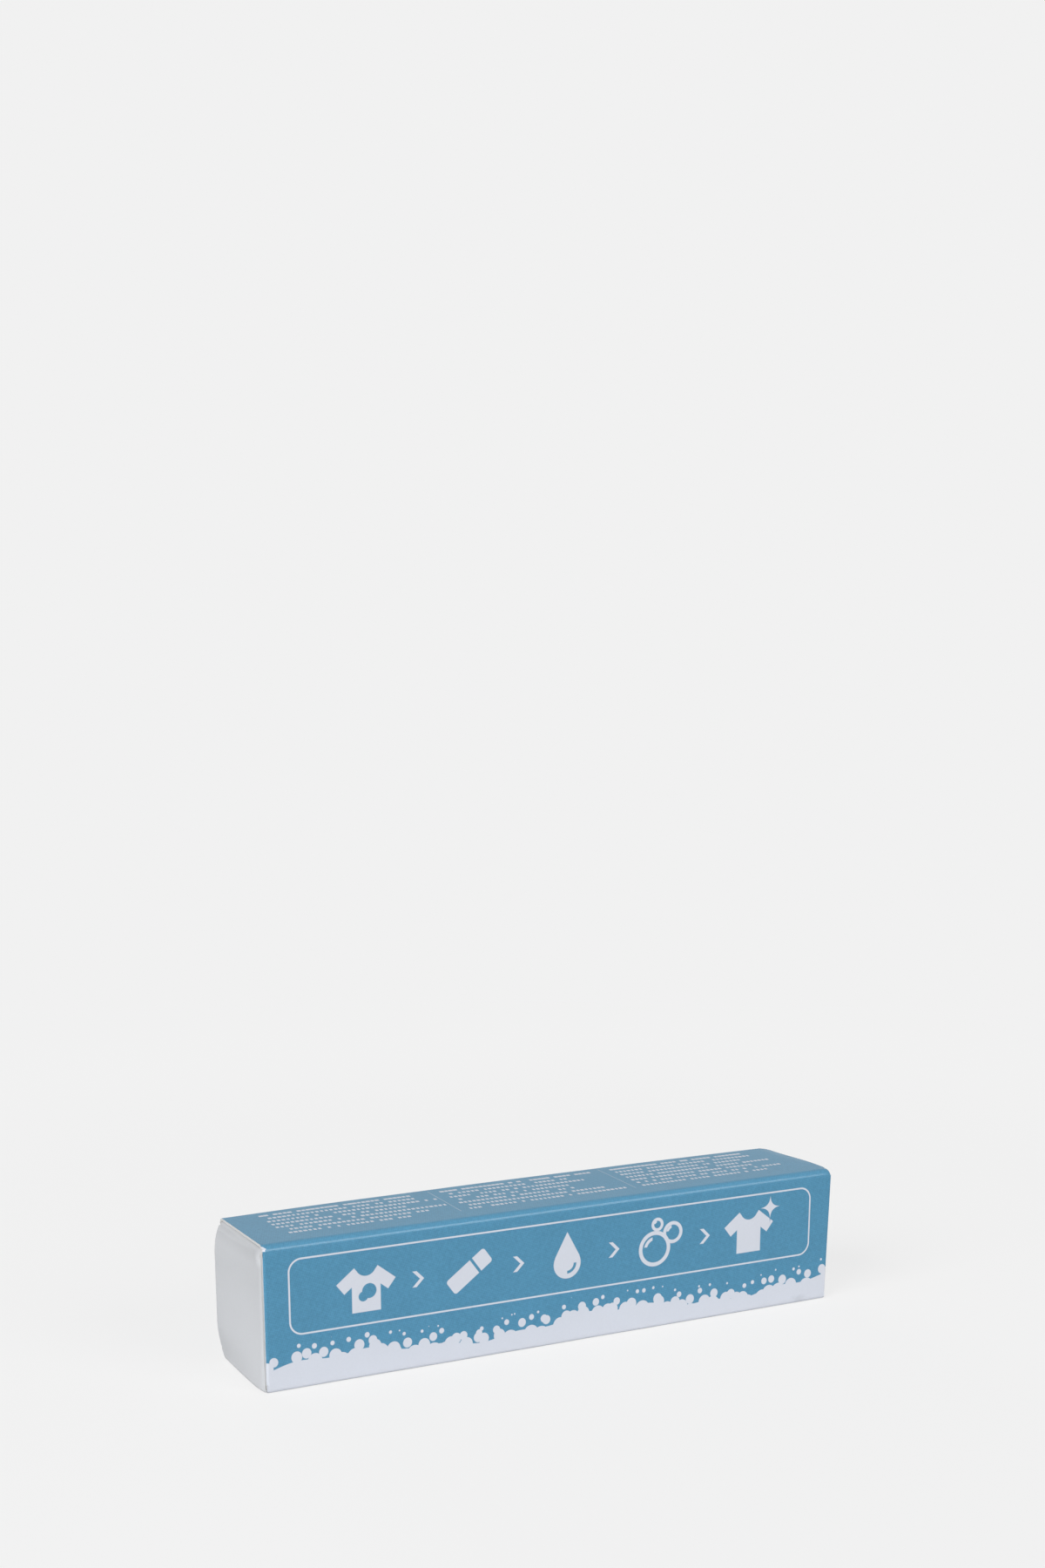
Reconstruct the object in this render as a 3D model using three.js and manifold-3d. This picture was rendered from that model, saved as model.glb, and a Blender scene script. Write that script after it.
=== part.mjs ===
// Stain remover stick: a bar of stain soap in a reverse-tuck folding carton, lying on its side.
// Millimetres, +Z up. X runs along the carton, -Y is the printed front, and the origin is the
// middle of the underside. The right end is the left end turned half round about Y.

import * as THREE from "three";
import { mergeVertices } from "three/addons/utils/BufferGeometryUtils.js";
import Module from "manifold-3d";

const wasm = await Module();
wasm.setup();

// Carton
const cartonLength = 120.5; // between the end creases of the front panel
const cartonDepth = 22.2; // front face to rear face
const cartonHeight = 27; // underside to top face
const board = 0.45; // paperboard thickness
const foldRadius = 1.25; // outside of the three long folds
const creaseGap = 0.12; // between a flap's rolled edge and the panel it folds on
const rawEdgeLift = 0.15; // the rear panel's lower cut edge, clear of the surface below

// Glued seam
const glueFlapWidth = 12; // height up the rear panel
const glueFlapInset = 3; // short of the carton at each end
const glueFlapSlant = 4; // how much shorter its free edge is at each end
const glueFoldRadius = 0.95; // outside of the fold between bottom panel and glue flap
const glueFilm = 0.1; // adhesive thickness
const glueLineWidth = 8;
const glueLineInset = 9; // short of the carton at each end

// Tuck flap and tongue
const flapGap = 0.15; // between the dust flaps and the tuck flap at its edges
const flapInset = 0.5; // narrower than the carton at each side
const flapBow = 0.75; // how far its middle stands out
const flapRise = 2; // how steeply the bow builds up beside the hinge and the fold: less is steeper
const tuckFoldRadius = 1.3; // centre line of the fold between tuck flap and tongue
const tongueLength = 7.6; // from that fold to the tip
const tongueInset = 1.1; // narrower than the tuck flap at each side
const tongueCorner = 5; // radius of the two corners at the tip
const tongueGap = 0.8; // under the panel that it is tucked behind
const tongueSlope = THREE.MathUtils.degToRad(2.5); // away from that panel, towards the tip

// Dust flaps
const dustMeetingGap = 1.8; // between the free edges of a pair
const dustTaper = THREE.MathUtils.degToRad(41); // of the edge beside the tuck flap's hinge
const dustRoot = 1.5; // where that edge starts, above the outer face of the carton
const dustTongueGap = 0.9; // under the tongue
const dustCorner = 3; // radius of the corner under the tongue

// Soap
const soapEndGap = 1.5; // to the dust flaps
const soapSideGap = 0.5; // to the front panel and to the glue flap
const soapSeat = 0.3; // to the panels and tongues that it lies between
const soapCorner = 2.6; // radius of its long edges
const soapBevel = 1.8; // rounding of its two ends

// Fineness of round stretches
const foldSegments = 6;
const bowSegments = 10;
const cornerSegments = 6;

// Places that more than one piece uses
const halfLength = cartonLength / 2;
const halfDepth = cartonDepth / 2;
const halfBoard = board / 2;
const foldInside = foldRadius - board;
const flatHalfDepth = halfDepth - foldRadius; // where the long folds end on top and bottom
const flapHinge = { x: -halfLength - flapGap - halfBoard, z: halfBoard };
const hingeEdge = flapHinge.x + halfBoard + creaseGap; // end of the panel that a tuck flap folds on
const dustHinge = { x: -halfLength + halfBoard, y: halfDepth - halfBoard };
const panelEdge = dustHinge.x + halfBoard + creaseGap; // end of front and rear panel
const tongueRoot = {
  x: flapHinge.x + tuckFoldRadius,
  z: cartonHeight - board - tongueGap - halfBoard,
};
const foldBottom = tongueRoot.z - tuckFoldRadius; // where the flap turns into its tongue
const glueOuterFace = halfDepth - board - glueFilm;
const glueInnerFace = glueOuterFace - board;
const glueFoldStart = glueOuterFace - glueFoldRadius;

const printBlue = new THREE.MeshStandardMaterial({ color: 0x5890b0, roughness: 0.45, metalness: 0 });
const boardWhite = new THREE.MeshStandardMaterial({ color: 0xd6dae2, roughness: 0.7, metalness: 0 });
const adhesive = new THREE.MeshStandardMaterial({ color: 0xe8e0c8, roughness: 0.4, metalness: 0 });
const soapCream = new THREE.MeshStandardMaterial({ color: 0xefe9d6, roughness: 0.5, metalness: 0 });

// Directions that a sketch's own x, y and extrusion take in the part
const alongX = new THREE.Vector3(1, 0, 0);
const alongY = new THREE.Vector3(0, 1, 0);
const alongZ = new THREE.Vector3(0, 0, 1);
const sketchTurns = {
  x: new THREE.Matrix4().makeBasis(alongY, alongZ, alongX), // sketch of (y, z)
  y: new THREE.Matrix4().makeBasis(alongZ, alongX, alongY), // sketch of (z, x)
  z: new THREE.Matrix4(), // sketch of (x, y)
};

// A sketch drawn across one axis becomes a prism along it.
function prism(axis, sketch, from, to) {
  const options = { depth: to - from, bevelEnabled: false, curveSegments: foldSegments };
  const geometry = new THREE.ExtrudeGeometry(sketch, options);
  geometry.translate(0, 0, from);
  return geometry.applyMatrix4(sketchTurns[axis]);
}

function solidOf(geometry) {
  const bare = geometry.clone();
  bare.deleteAttribute("normal");
  bare.deleteAttribute("uv");
  const merged = mergeVertices(bare);
  const vertProperties = new Float32Array(merged.attributes.position.array);
  const triVerts = new Uint32Array(merged.index.array);
  return new wasm.Manifold(new wasm.Mesh({ numProp: 3, vertProperties, triVerts }));
}

// What two prisms have in common: a sheet in one view, its outline in the other.
function common(first, second) {
  const mesh = solidOf(first).intersect(solidOf(second)).getMesh();
  const geometry = new THREE.BufferGeometry();
  geometry.setAttribute("position", new THREE.BufferAttribute(mesh.vertProperties, 3));
  geometry.setIndex(new THREE.BufferAttribute(mesh.triVerts, 1));
  const faceted = geometry.toNonIndexed();
  faceted.computeVertexNormals();
  return faceted;
}

function piece(name, geometry, material) {
  const mesh = new THREE.Mesh(geometry, material);
  mesh.name = name;
  return mesh;
}

function rectangle(left, low, right, high) {
  const sketch = new THREE.Shape();
  sketch.moveTo(left, low);
  sketch.lineTo(right, low);
  sketch.lineTo(right, high);
  sketch.lineTo(left, high);
  sketch.closePath();
  return sketch;
}

// A strip of board along a centre line, with its first end rolled about the line's first point.
function boardStrip(centreLine) {
  const last = centreLine.length - 1;
  const sides = centreLine.map((point, i) => {
    const ahead = centreLine[Math.min(i + 1, last)];
    const behind = centreLine[Math.max(i - 1, 0)];
    const tangent = ahead.clone().sub(behind).normalize();
    return new THREE.Vector2(-tangent.y, tangent.x).multiplyScalar(halfBoard);
  });
  const leftSide = centreLine.map((point, i) => point.clone().add(sides[i]));
  const rightSide = centreLine.map((point, i) => point.clone().sub(sides[i]));
  const startAngle = sides[0].angle();
  const roll = [];
  for (let i = 1; i < foldSegments; i += 1) {
    const angle = startAngle + (Math.PI * i) / foldSegments;
    const onRoll = new THREE.Vector2(Math.cos(angle), Math.sin(angle)).multiplyScalar(halfBoard);
    roll.push(onRoll.add(centreLine[0]));
  }
  return new THREE.Shape([...rightSide, ...leftSide.reverse(), ...roll]);
}

// Front panel: flat, with the long folds to the bottom and the top along its two edges.
function frontPanelSketch() {
  const sketch = new THREE.Shape();
  const lowCentre = foldRadius;
  const highCentre = cartonHeight - foldRadius;
  const right = Math.PI / 2;
  sketch.moveTo(-flatHalfDepth, cartonHeight);
  sketch.absarc(-flatHalfDepth, highCentre, foldRadius, right, 2 * right, false);
  sketch.absarc(-flatHalfDepth, lowCentre, foldRadius, 2 * right, 3 * right, false);
  sketch.lineTo(-flatHalfDepth, board);
  sketch.absarc(-flatHalfDepth, lowCentre, foldInside, 3 * right, 2 * right, true);
  sketch.absarc(-flatHalfDepth, highCentre, foldInside, 2 * right, right, true);
  sketch.closePath();
  return sketch;
}

// Rear panel: the fold to the top along one edge, and a cut edge below.
function rearPanelSketch() {
  const sketch = new THREE.Shape();
  const highCentre = cartonHeight - foldRadius;
  sketch.moveTo(halfDepth - board, rawEdgeLift);
  sketch.lineTo(halfDepth, rawEdgeLift);
  sketch.absarc(flatHalfDepth, highCentre, foldRadius, 0, Math.PI / 2, false);
  sketch.lineTo(flatHalfDepth, cartonHeight - board);
  sketch.absarc(flatHalfDepth, highCentre, foldInside, Math.PI / 2, 0, true);
  sketch.closePath();
  return sketch;
}

// Glue flap: folded up from the bottom panel's rear edge.
function glueFlapSketch() {
  const sketch = new THREE.Shape();
  const quarter = Math.PI / 2;
  sketch.moveTo(glueFoldStart, 0);
  sketch.absarc(glueFoldStart, glueFoldRadius, glueFoldRadius, -quarter, 0, false);
  sketch.lineTo(glueOuterFace, glueFlapWidth);
  sketch.lineTo(glueInnerFace, glueFlapWidth);
  sketch.absarc(glueFoldStart, glueFoldRadius, glueFoldRadius - board, 0, -quarter, true);
  sketch.closePath();
  return sketch;
}

function glueFlap() {
  const reach = halfLength - glueFlapInset;
  const outline = new THREE.Shape();
  outline.moveTo(0, -reach);
  outline.lineTo(0, reach);
  outline.lineTo(glueFoldRadius, reach);
  outline.lineTo(glueFlapWidth, reach - glueFlapSlant);
  outline.lineTo(glueFlapWidth, glueFlapSlant - reach);
  outline.lineTo(glueFoldRadius, -reach);
  outline.closePath();
  const sheet = prism("x", glueFlapSketch(), -reach, reach);
  return common(sheet, prism("y", outline, 0, halfDepth));
}

function glueLine() {
  const reach = halfLength - glueLineInset;
  const low = glueFoldRadius + (glueFlapWidth - glueFoldRadius - glueLineWidth) / 2;
  const sketch = rectangle(glueOuterFace, low, halfDepth - board, low + glueLineWidth);
  return prism("x", sketch, -reach, reach);
}

function sleeve() {
  const group = new THREE.Group();
  const front = prism("x", frontPanelSketch(), panelEdge, -panelEdge);
  const rear = prism("x", rearPanelSketch(), panelEdge, -panelEdge);
  const topSketch = rectangle(-halfLength, -flatHalfDepth, -hingeEdge, flatHalfDepth);
  const bottomSketch = rectangle(hingeEdge, -flatHalfDepth, halfLength, glueFoldStart);
  group.add(piece("front_panel", front, printBlue));
  group.add(piece("top_panel", prism("z", topSketch, cartonHeight - board, cartonHeight), printBlue));
  group.add(piece("rear_panel", rear, printBlue));
  group.add(piece("bottom_panel", prism("z", bottomSketch, 0, board), boardWhite));
  group.add(piece("glue_flap", glueFlap(), boardWhite));
  group.add(piece("glue_line", glueLine(), adhesive));
  return group;
}

// Tuck flap: bowed outwards from its hinge, then round the fold to where the tongue begins.
function tuckFlap() {
  const line = new THREE.Path();
  const curveReach = 0.75; // share of the pull that a cubic curve reaches
  const pull = flapHinge.x - flapBow / curveReach;
  line.moveTo(flapHinge.z, flapHinge.x);
  line.bezierCurveTo(flapHinge.z + flapRise, pull, foldBottom - flapRise, pull, foldBottom, flapHinge.x);
  const bow = line.getPoints(bowSegments);
  const foldEnd = Math.PI / 2 - (halfBoard + creaseGap) / tuckFoldRadius;
  const fold = [];
  for (let i = 1; i <= foldSegments; i += 1) {
    const turned = (foldEnd * i) / foldSegments;
    const z = foldBottom + tuckFoldRadius * Math.sin(turned);
    const x = flapHinge.x + tuckFoldRadius * (1 - Math.cos(turned));
    fold.push(new THREE.Vector2(z, x));
  }
  const reach = halfDepth - flapInset;
  return prism("y", boardStrip([...bow, ...fold]), -reach, reach);
}

// Tongue: a flat strip from the fold, with rounded corners at its tip.
function tongue() {
  const root = new THREE.Vector2(tongueRoot.z, tongueRoot.x);
  const run = new THREE.Vector2(-Math.sin(tongueSlope), Math.cos(tongueSlope));
  const tip = root.clone().addScaledVector(run, tongueLength);
  const reach = halfDepth - flapInset - tongueInset;
  const outline = new THREE.Shape();
  outline.moveTo(tongueRoot.x - board, -reach);
  outline.lineTo(tip.y - tongueCorner, -reach);
  outline.absarc(tip.y - tongueCorner, tongueCorner - reach, tongueCorner, -Math.PI / 2, 0, false);
  outline.absarc(tip.y - tongueCorner, reach - tongueCorner, tongueCorner, 0, Math.PI / 2, false);
  outline.lineTo(tongueRoot.x - board, reach);
  outline.closePath();
  const sheet = prism("y", boardStrip([root, tip]), -reach, reach);
  return common(sheet, prism("z", outline, 0, cartonHeight));
}

// Dust flap on the front panel (side -1) or the rear panel (side 1), turning on an upright crease.
function dustFlap(side) {
  const root = new THREE.Vector2(dustHinge.x, side * dustHinge.y);
  const tip = new THREE.Vector2(dustHinge.x, (side * dustMeetingGap) / 2);
  const top = tongueRoot.z - halfBoard - dustTongueGap;
  const outer = side * halfDepth;
  const width = halfDepth - dustMeetingGap / 2;
  const toward = -side;
  const outline = new THREE.Shape();
  outline.moveTo(outer, dustRoot);
  outline.lineTo(tip.y, dustRoot + width * Math.tan(dustTaper));
  outline.lineTo(tip.y, top - dustCorner);
  outline.quadraticCurveTo(tip.y, top, tip.y - toward * dustCorner, top);
  outline.lineTo(outer, top);
  outline.closePath();
  const sheet = prism("z", boardStrip([root, tip]), 0, cartonHeight);
  return common(sheet, prism("x", outline, -halfLength - board, -halfLength + 2 * board));
}

function endFlaps(side) {
  const group = new THREE.Group();
  group.add(piece(`${side}_tuck_flap`, tuckFlap(), boardWhite));
  group.add(piece(`${side}_tuck_tongue`, tongue(), boardWhite));
  group.add(piece(`${side}_front_dust_flap`, dustFlap(-1), boardWhite));
  group.add(piece(`${side}_rear_dust_flap`, dustFlap(1), boardWhite));
  return group;
}

// Soap: a bar with rounded edges. It leans by a hair, because one end lies on the right tongue
// and the other under the left one.
function soapStick() {
  const length = cartonLength - 2 * (board + soapEndGap);
  const tongueReach = tongueLength * Math.cos(tongueSlope);
  const tongueTip = -tongueRoot.x - tongueReach; // of the right tongue
  const tipHeight = cartonHeight - tongueRoot.z + halfBoard + tongueLength * Math.sin(tongueSlope);
  const lean = Math.asin((tipHeight - board) / (length / 2 + tongueTip));
  const height = cartonHeight - 2 * (board + soapSeat) - length * Math.sin(lean);
  const front = -halfDepth + board + soapSideGap;
  const rear = glueInnerFace - soapSideGap;
  const halfHeight = height / 2 - soapBevel;
  const halfWidth = (rear - front) / 2 - soapBevel;
  const corner = soapCorner - soapBevel;
  const sketch = new THREE.Shape();
  sketch.moveTo(halfWidth - corner, -halfHeight);
  sketch.absarc(halfWidth - corner, corner - halfHeight, corner, -Math.PI / 2, 0, false);
  sketch.absarc(halfWidth - corner, halfHeight - corner, corner, 0, Math.PI / 2, false);
  sketch.absarc(corner - halfWidth, halfHeight - corner, corner, Math.PI / 2, Math.PI, false);
  sketch.absarc(corner - halfWidth, corner - halfHeight, corner, Math.PI, 1.5 * Math.PI, false);
  sketch.closePath();
  const geometry = new THREE.ExtrudeGeometry(sketch, {
    depth: length - 2 * soapBevel,
    bevelThickness: soapBevel,
    bevelSize: soapBevel,
    bevelSegments: cornerSegments,
    curveSegments: cornerSegments,
  });
  geometry.translate(0, 0, soapBevel - length / 2);
  geometry.applyMatrix4(sketchTurns.x);
  const soap = piece("soap_stick", geometry, soapCream);
  soap.position.set(0, (front + rear) / 2, cartonHeight / 2);
  soap.rotation.y = -lean;
  return soap;
}

const leftEnd = endFlaps("left");
const rightEnd = endFlaps("right");
rightEnd.rotation.y = Math.PI;
rightEnd.position.z = cartonHeight;

const carton = new THREE.Group();
carton.add(sleeve(), leftEnd, rightEnd, soapStick());

export default carton;
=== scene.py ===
# %% [markdown]
# The object is a bar of stain soap in a long folding carton that lies on its side. One sheet of thin
# white board makes the whole carton: it is printed, cut, creased, folded round and glued along one
# edge, and both ends are closed with a tuck flap over two dust flaps. Each panel and flap below is
# modelled as a sheet that is folded and then given its thickness, which is how the real one is made.

# %% Load the frame
import math

import bmesh
import bpy
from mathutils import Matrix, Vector


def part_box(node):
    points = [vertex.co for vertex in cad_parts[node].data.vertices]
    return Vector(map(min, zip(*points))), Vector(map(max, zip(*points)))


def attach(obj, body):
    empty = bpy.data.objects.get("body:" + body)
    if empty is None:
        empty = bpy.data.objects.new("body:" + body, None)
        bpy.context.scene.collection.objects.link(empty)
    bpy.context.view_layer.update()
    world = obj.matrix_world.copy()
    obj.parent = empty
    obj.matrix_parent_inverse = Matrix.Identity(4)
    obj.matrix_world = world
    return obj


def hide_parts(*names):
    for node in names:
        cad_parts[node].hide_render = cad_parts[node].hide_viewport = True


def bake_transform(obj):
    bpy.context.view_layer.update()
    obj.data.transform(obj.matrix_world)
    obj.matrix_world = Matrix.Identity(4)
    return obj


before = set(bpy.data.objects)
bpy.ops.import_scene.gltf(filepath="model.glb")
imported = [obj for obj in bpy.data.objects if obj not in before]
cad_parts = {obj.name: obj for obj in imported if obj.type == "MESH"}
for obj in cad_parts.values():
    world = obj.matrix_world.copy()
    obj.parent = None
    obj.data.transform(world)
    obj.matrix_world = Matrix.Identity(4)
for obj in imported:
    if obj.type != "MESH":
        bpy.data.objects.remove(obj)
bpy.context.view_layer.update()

# %% [markdown]
# The main sizes could be typed in again, but they are taken from the packed model, so that the looks
# can't drift away from the part that moves. Metres are awkward for a carton, so mm is kept as a unit:
# 5 * mm reads as five millimetres. The solid of the bottom panel ends a hair past the carton's length,
# and that comes off again.

# %% Sizes of the carton
mm = 0.001
past_length = 0.03 * mm
front_low, front_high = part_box("front_panel")
bottom_low, bottom_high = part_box("bottom_panel")
height = front_high.z
half_depth = -front_low.y
half_length = -bottom_low.x - past_length
board = bottom_high.z
fold_radius = front_high.y - front_low.y
middle = Vector((0, 0, height / 2))


def in_mm(*values):
    return [round(value / mm, 2) for value in values]


print("length, depth, height", in_mm(2 * half_length, 2 * half_depth, height), "board", in_mm(board))

# %% [markdown]
# The camera stands left of the front and a little above it. Its place was found by fitting a pinhole
# camera to the carton's straight edges, and it is given in heights of the carton from its middle. The
# carton sits low in the tall picture, although the camera looks almost straight at it. So the picture
# is moved by a lens shift, because a tilt of the camera would make the upright edges converge. In a
# tall picture Blender lays the sensor's width along the picture's height.

# %% Camera
image_height = 1800
focal_pixels = 2210.9
optical_row = 1350
sensor_width = 36
azimuth = math.radians(-27.82)
elevation = math.radians(13.86)
heights_back, heights_left, heights_up = 13.78, 0.120, 0.599


def direction(turn, lift):
    """A step away from the carton, turned from its front towards its right end and lifted."""
    return Vector((math.sin(turn) * math.cos(lift), -math.cos(turn) * math.cos(lift), math.sin(lift)))


back = direction(azimuth, elevation)
right = Vector((math.cos(azimuth), math.sin(azimuth), 0))
above = back.cross(right)
stand = middle + heights_back * height * back
stand -= heights_left * height * right
stand += heights_up * height * above
bpy.ops.object.select_all(action="DESELECT")
bpy.ops.object.camera_add(location=stand, rotation=(math.pi / 2 - elevation, 0, azimuth))
camera = bpy.context.object
camera.name = "photo_camera"
camera.data.sensor_width = sensor_width
camera.data.lens = focal_pixels * sensor_width / image_height
camera.data.shift_y = (optical_row - image_height / 2) / image_height
bpy.context.scene.camera = camera
bpy.context.scene.view_settings.view_transform = "Standard"
print("lens", round(camera.data.lens, 2), "shift", round(camera.data.shift_y, 3))

# %% [markdown]
# Shader nodes do arithmetic one step at a time, which makes a long formula hard to read as calls.
# A Wire holds one socket and turns Python's own + - * into Math nodes, so a drawing on the board
# can be written as the formula it is.

# %% Wires
def plug(tree, value, slot):
    """Links a wire to a socket, or sets the socket to a plain value."""
    if isinstance(value, Wire):
        tree.links.new(value.socket, slot)
    else:
        slot.default_value = value


class Wire:
    """A value in a node tree, with plain arithmetic."""

    def __init__(self, tree, socket):
        self.tree = tree
        self.socket = socket

    def math(self, operation, *others):
        node = self.tree.nodes.new("ShaderNodeMath")
        node.operation = operation
        for slot, value in zip(node.inputs, (self, *others)):
            plug(self.tree, value, slot)
        return Wire(self.tree, node.outputs[0])

    def __add__(self, other):
        return self.math("ADD", other)

    def __sub__(self, other):
        return self.math("SUBTRACT", other)

    def __mul__(self, other):
        return self.math("MULTIPLY", other)

    def __neg__(self):
        return self.math("MULTIPLY", -1)

    def __abs__(self):
        return self.math("ABSOLUTE")

    def least(self, other):
        return self.math("MINIMUM", other)

    def most(self, other):
        return self.math("MAXIMUM", other)

    def over(self, level):
        """1 above the level and 0 below it."""
        return self.math("GREATER_THAN", level)

    def under(self, level):
        return self.math("LESS_THAN", level)

    def sine(self):
        return self.math("SINE")

    def root(self):
        return self.math("SQRT")

    def step_from(self, low, high):
        """0 at low and before it, 1 at high and past it, and smooth between."""
        node = self.tree.nodes.new("ShaderNodeMapRange")
        node.interpolation_type = "SMOOTHSTEP"
        plug(self.tree, self, node.inputs["Value"])
        plug(self.tree, low, node.inputs["From Min"])
        plug(self.tree, high, node.inputs["From Max"])
        return Wire(self.tree, node.outputs["Result"])


print("a wire can do", [word for word in vars(Wire) if not word.startswith("_")])

# %% [markdown]
# Nodes could be added by hand in the shader editor. In a script the same few steps come back in every
# finish, so they are helpers: add a node with its settings, split a place into millimetres, read the
# place on an object, and start a material.

# %% Node tools
def add_node(tree, kind, **settings):
    node = tree.nodes.new(kind)
    for name, value in settings.items():
        setattr(node, name, value)
    return node


def coordinates(tree, vector):
    """The three parts of a vector, in millimetres."""
    node = add_node(tree, "ShaderNodeSeparateXYZ")
    plug(tree, vector, node.inputs[0])
    return [Wire(tree, socket) * (1 / mm) for socket in node.outputs]


def object_position(tree):
    return Wire(tree, add_node(tree, "ShaderNodeTexCoord").outputs["Object"])


def new_finish(name):
    """A new material, with its node tree and its shader."""
    material = bpy.data.materials.new(name)
    material.use_nodes = True
    return material, material.node_tree, material.node_tree.nodes["Principled BSDF"]


print("node tools", [tool.__name__ for tool in (add_node, coordinates, new_finish)])

# %% [markdown]
# A product photo like this has an even pale ground. The floor is a real pale floor that catches the
# carton's shadow, but the camera sees it mixed with plain emission, so it stays near one tone and its
# far edge can't be told from the backdrop. Round the carton a share of the lit floor shows, and the
# emission there is raised by what that share lacks.

# %% Floor
backdrop_tone = 0.8796
floor_width = 8
floor_drop = 0.05 * mm
floor_grey = (0.60, 0.60, 0.60, 1)
floor_share = 0.24
floor_lit_tone = 0.47
share_full, share_ends = 160.0, 420.0

bpy.ops.object.select_all(action="DESELECT")
bpy.ops.mesh.primitive_plane_add(size=floor_width, location=(0, 0, -floor_drop))
floor = bpy.context.object
floor.name = "pale_floor"
floor_paint, tree, shader = new_finish("pale_floor_paint")
shader.inputs["Base Color"].default_value = floor_grey
shader.inputs["Roughness"].default_value = 0.9
shader.inputs["Specular IOR Level"].default_value = 0.1
glow = add_node(tree, "ShaderNodeEmission")
x, y, _ = coordinates(tree, object_position(tree))
around = (x * x + y * y).root().step_from(share_ends, share_full)
lift = (backdrop_tone - floor_share * floor_lit_tone) / (1 - floor_share) - backdrop_tone
plug(tree, around * lift + backdrop_tone, glow.inputs["Strength"])
seen = Wire(tree, add_node(tree, "ShaderNodeLightPath").outputs["Is Camera Ray"])
blend = add_node(tree, "ShaderNodeMixShader")
plug(tree, seen * (around * -floor_share + 1.0), blend.inputs[0])
tree.links.new(shader.outputs[0], blend.inputs[1])
tree.links.new(glow.outputs[0], blend.inputs[2])
tree.links.new(blend.outputs[0], tree.nodes["Material Output"].inputs["Surface"])
floor.data.materials.append(floor_paint)
print("floor", floor.name, "raised by", round(lift, 3))

# %% [markdown]
# The world is the backdrop. It could be a big curved sheet, but a plain world has no edges or shadows.
# The camera and mirroring surfaces see the floor's tone in it, and to every other ray it is a weak
# white sky, so it hardly adds light of its own.

# %% Backdrop
sky_strength = 0.09
world = bpy.data.worlds.new("studio_backdrop")
bpy.context.scene.world = world
world.use_nodes = True
tree = world.node_tree
paths = add_node(tree, "ShaderNodeLightPath")
shown = Wire(tree, paths.outputs["Is Camera Ray"])
for ray in ("Is Glossy Ray", "Is Transmission Ray"):
    shown = shown.most(Wire(tree, paths.outputs[ray]))
sky = tree.nodes["Background"]
sky.inputs["Color"].default_value = (1, 1, 1, 1)
plug(tree, shown * (backdrop_tone - sky_strength) + sky_strength, sky.inputs["Strength"])
print("world", world.name, "sky", sky_strength, "seen as", backdrop_tone)

# %% [markdown]
# Two softboxes and two fills light the carton. A large softbox on the left lights the left end and part
# of the front. A lower one on the right lights the front too, and it is the one that the rounded fold
# along the top mirrors as a thin bright line. The fills stand low behind and on the right, and nothing
# mirrors them: they only keep the rear and the right end from going dark. All are area lamps, because
# a small lamp would draw hard shadows.

# %% Softboxes
lamp_distance = 2.2


def softbox(name, turn, lift, size, brightness, mirrored=True):
    """A softbox that lights a face turned towards it as brightly as the number says."""
    turn, lift = math.radians(turn), math.radians(lift)
    place = middle + lamp_distance * direction(turn, lift)
    bpy.ops.object.select_all(action="DESELECT")
    bpy.ops.object.light_add(type="AREA", location=place, rotation=(math.pi / 2 - lift, 0, turn))
    lamp = bpy.context.object
    lamp.name = name
    lamp.data.shape = "RECTANGLE"
    lamp.data.size, lamp.data.size_y = size
    lamp.data.energy = brightness * (math.pi * lamp_distance) ** 2
    lamp.visible_camera = False
    lamp.visible_glossy = mirrored
    print(name, "watts", round(lamp.data.energy, 1))


softbox("left_softbox", turn=-66, lift=34, size=(1.2, 1.2), brightness=0.86)
softbox("right_softbox", turn=24, lift=22, size=(1.2, 1.0), brightness=0.487)
softbox("rear_fill", turn=180, lift=6, size=(0.8, 0.3), brightness=0.40, mirrored=False)
softbox("side_fill", turn=95, lift=6, size=(0.8, 0.3), brightness=0.32, mirrored=False)

# %% [markdown]
# Folding board is pressed wood fibre. Its surface has a faint fibre texture and a cloudy tone. All
# faces of the board share them, so they are a node group, which is built once and placed in each
# finish: it gives a tone for the colour and a height for the bump. A noise's scale counts its cells
# in a metre.

# %% Board grain
fibre_scale, cloud_scale = 2400.0, 85.0
fibre_tone, cloud_tone = 0.05, 0.03
fibre_height, cloud_height = 0.7, 0.3


def new_group(name, inputs, outputs):
    """An empty node group, with its input wires by name and its output node."""
    tree = bpy.data.node_groups.new(name, "ShaderNodeTree")
    for title, kind in inputs.items():
        tree.interface.new_socket(title, in_out="INPUT", socket_type="NodeSocket" + kind)
    for title, kind in outputs.items():
        tree.interface.new_socket(title, in_out="OUTPUT", socket_type="NodeSocket" + kind)
    inlet = tree.nodes.new("NodeGroupInput")
    outlet = tree.nodes.new("NodeGroupOutput")
    return tree, {title: Wire(tree, inlet.outputs[title]) for title in inputs}, outlet


def noise(tree, vector, scale, detail=2.0, roughness=0.5):
    node = add_node(tree, "ShaderNodeTexNoise")
    plug(tree, vector, node.inputs["Vector"])
    node.inputs["Scale"].default_value = scale
    node.inputs["Detail"].default_value = detail
    node.inputs["Roughness"].default_value = roughness
    return Wire(tree, node.outputs[0])


def board_grain_group():
    tree, given, outlet = new_group(
        "Board grain", {"Position": "Vector"}, {"Tone": "Float", "Height": "Float"}
    )
    fibres = noise(tree, given["Position"], fibre_scale, detail=3.0, roughness=0.6)
    clouds = noise(tree, given["Position"], cloud_scale)
    tone = (fibres - 0.5) * fibre_tone + (clouds - 0.5) * cloud_tone + 1.0
    plug(tree, tone, outlet.inputs["Tone"])
    plug(tree, fibres * fibre_height + clouds * cloud_height, outlet.inputs["Height"])
    return tree


board_grain = board_grain_group()
print("group", board_grain.name, "nodes", len(board_grain.nodes))

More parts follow.
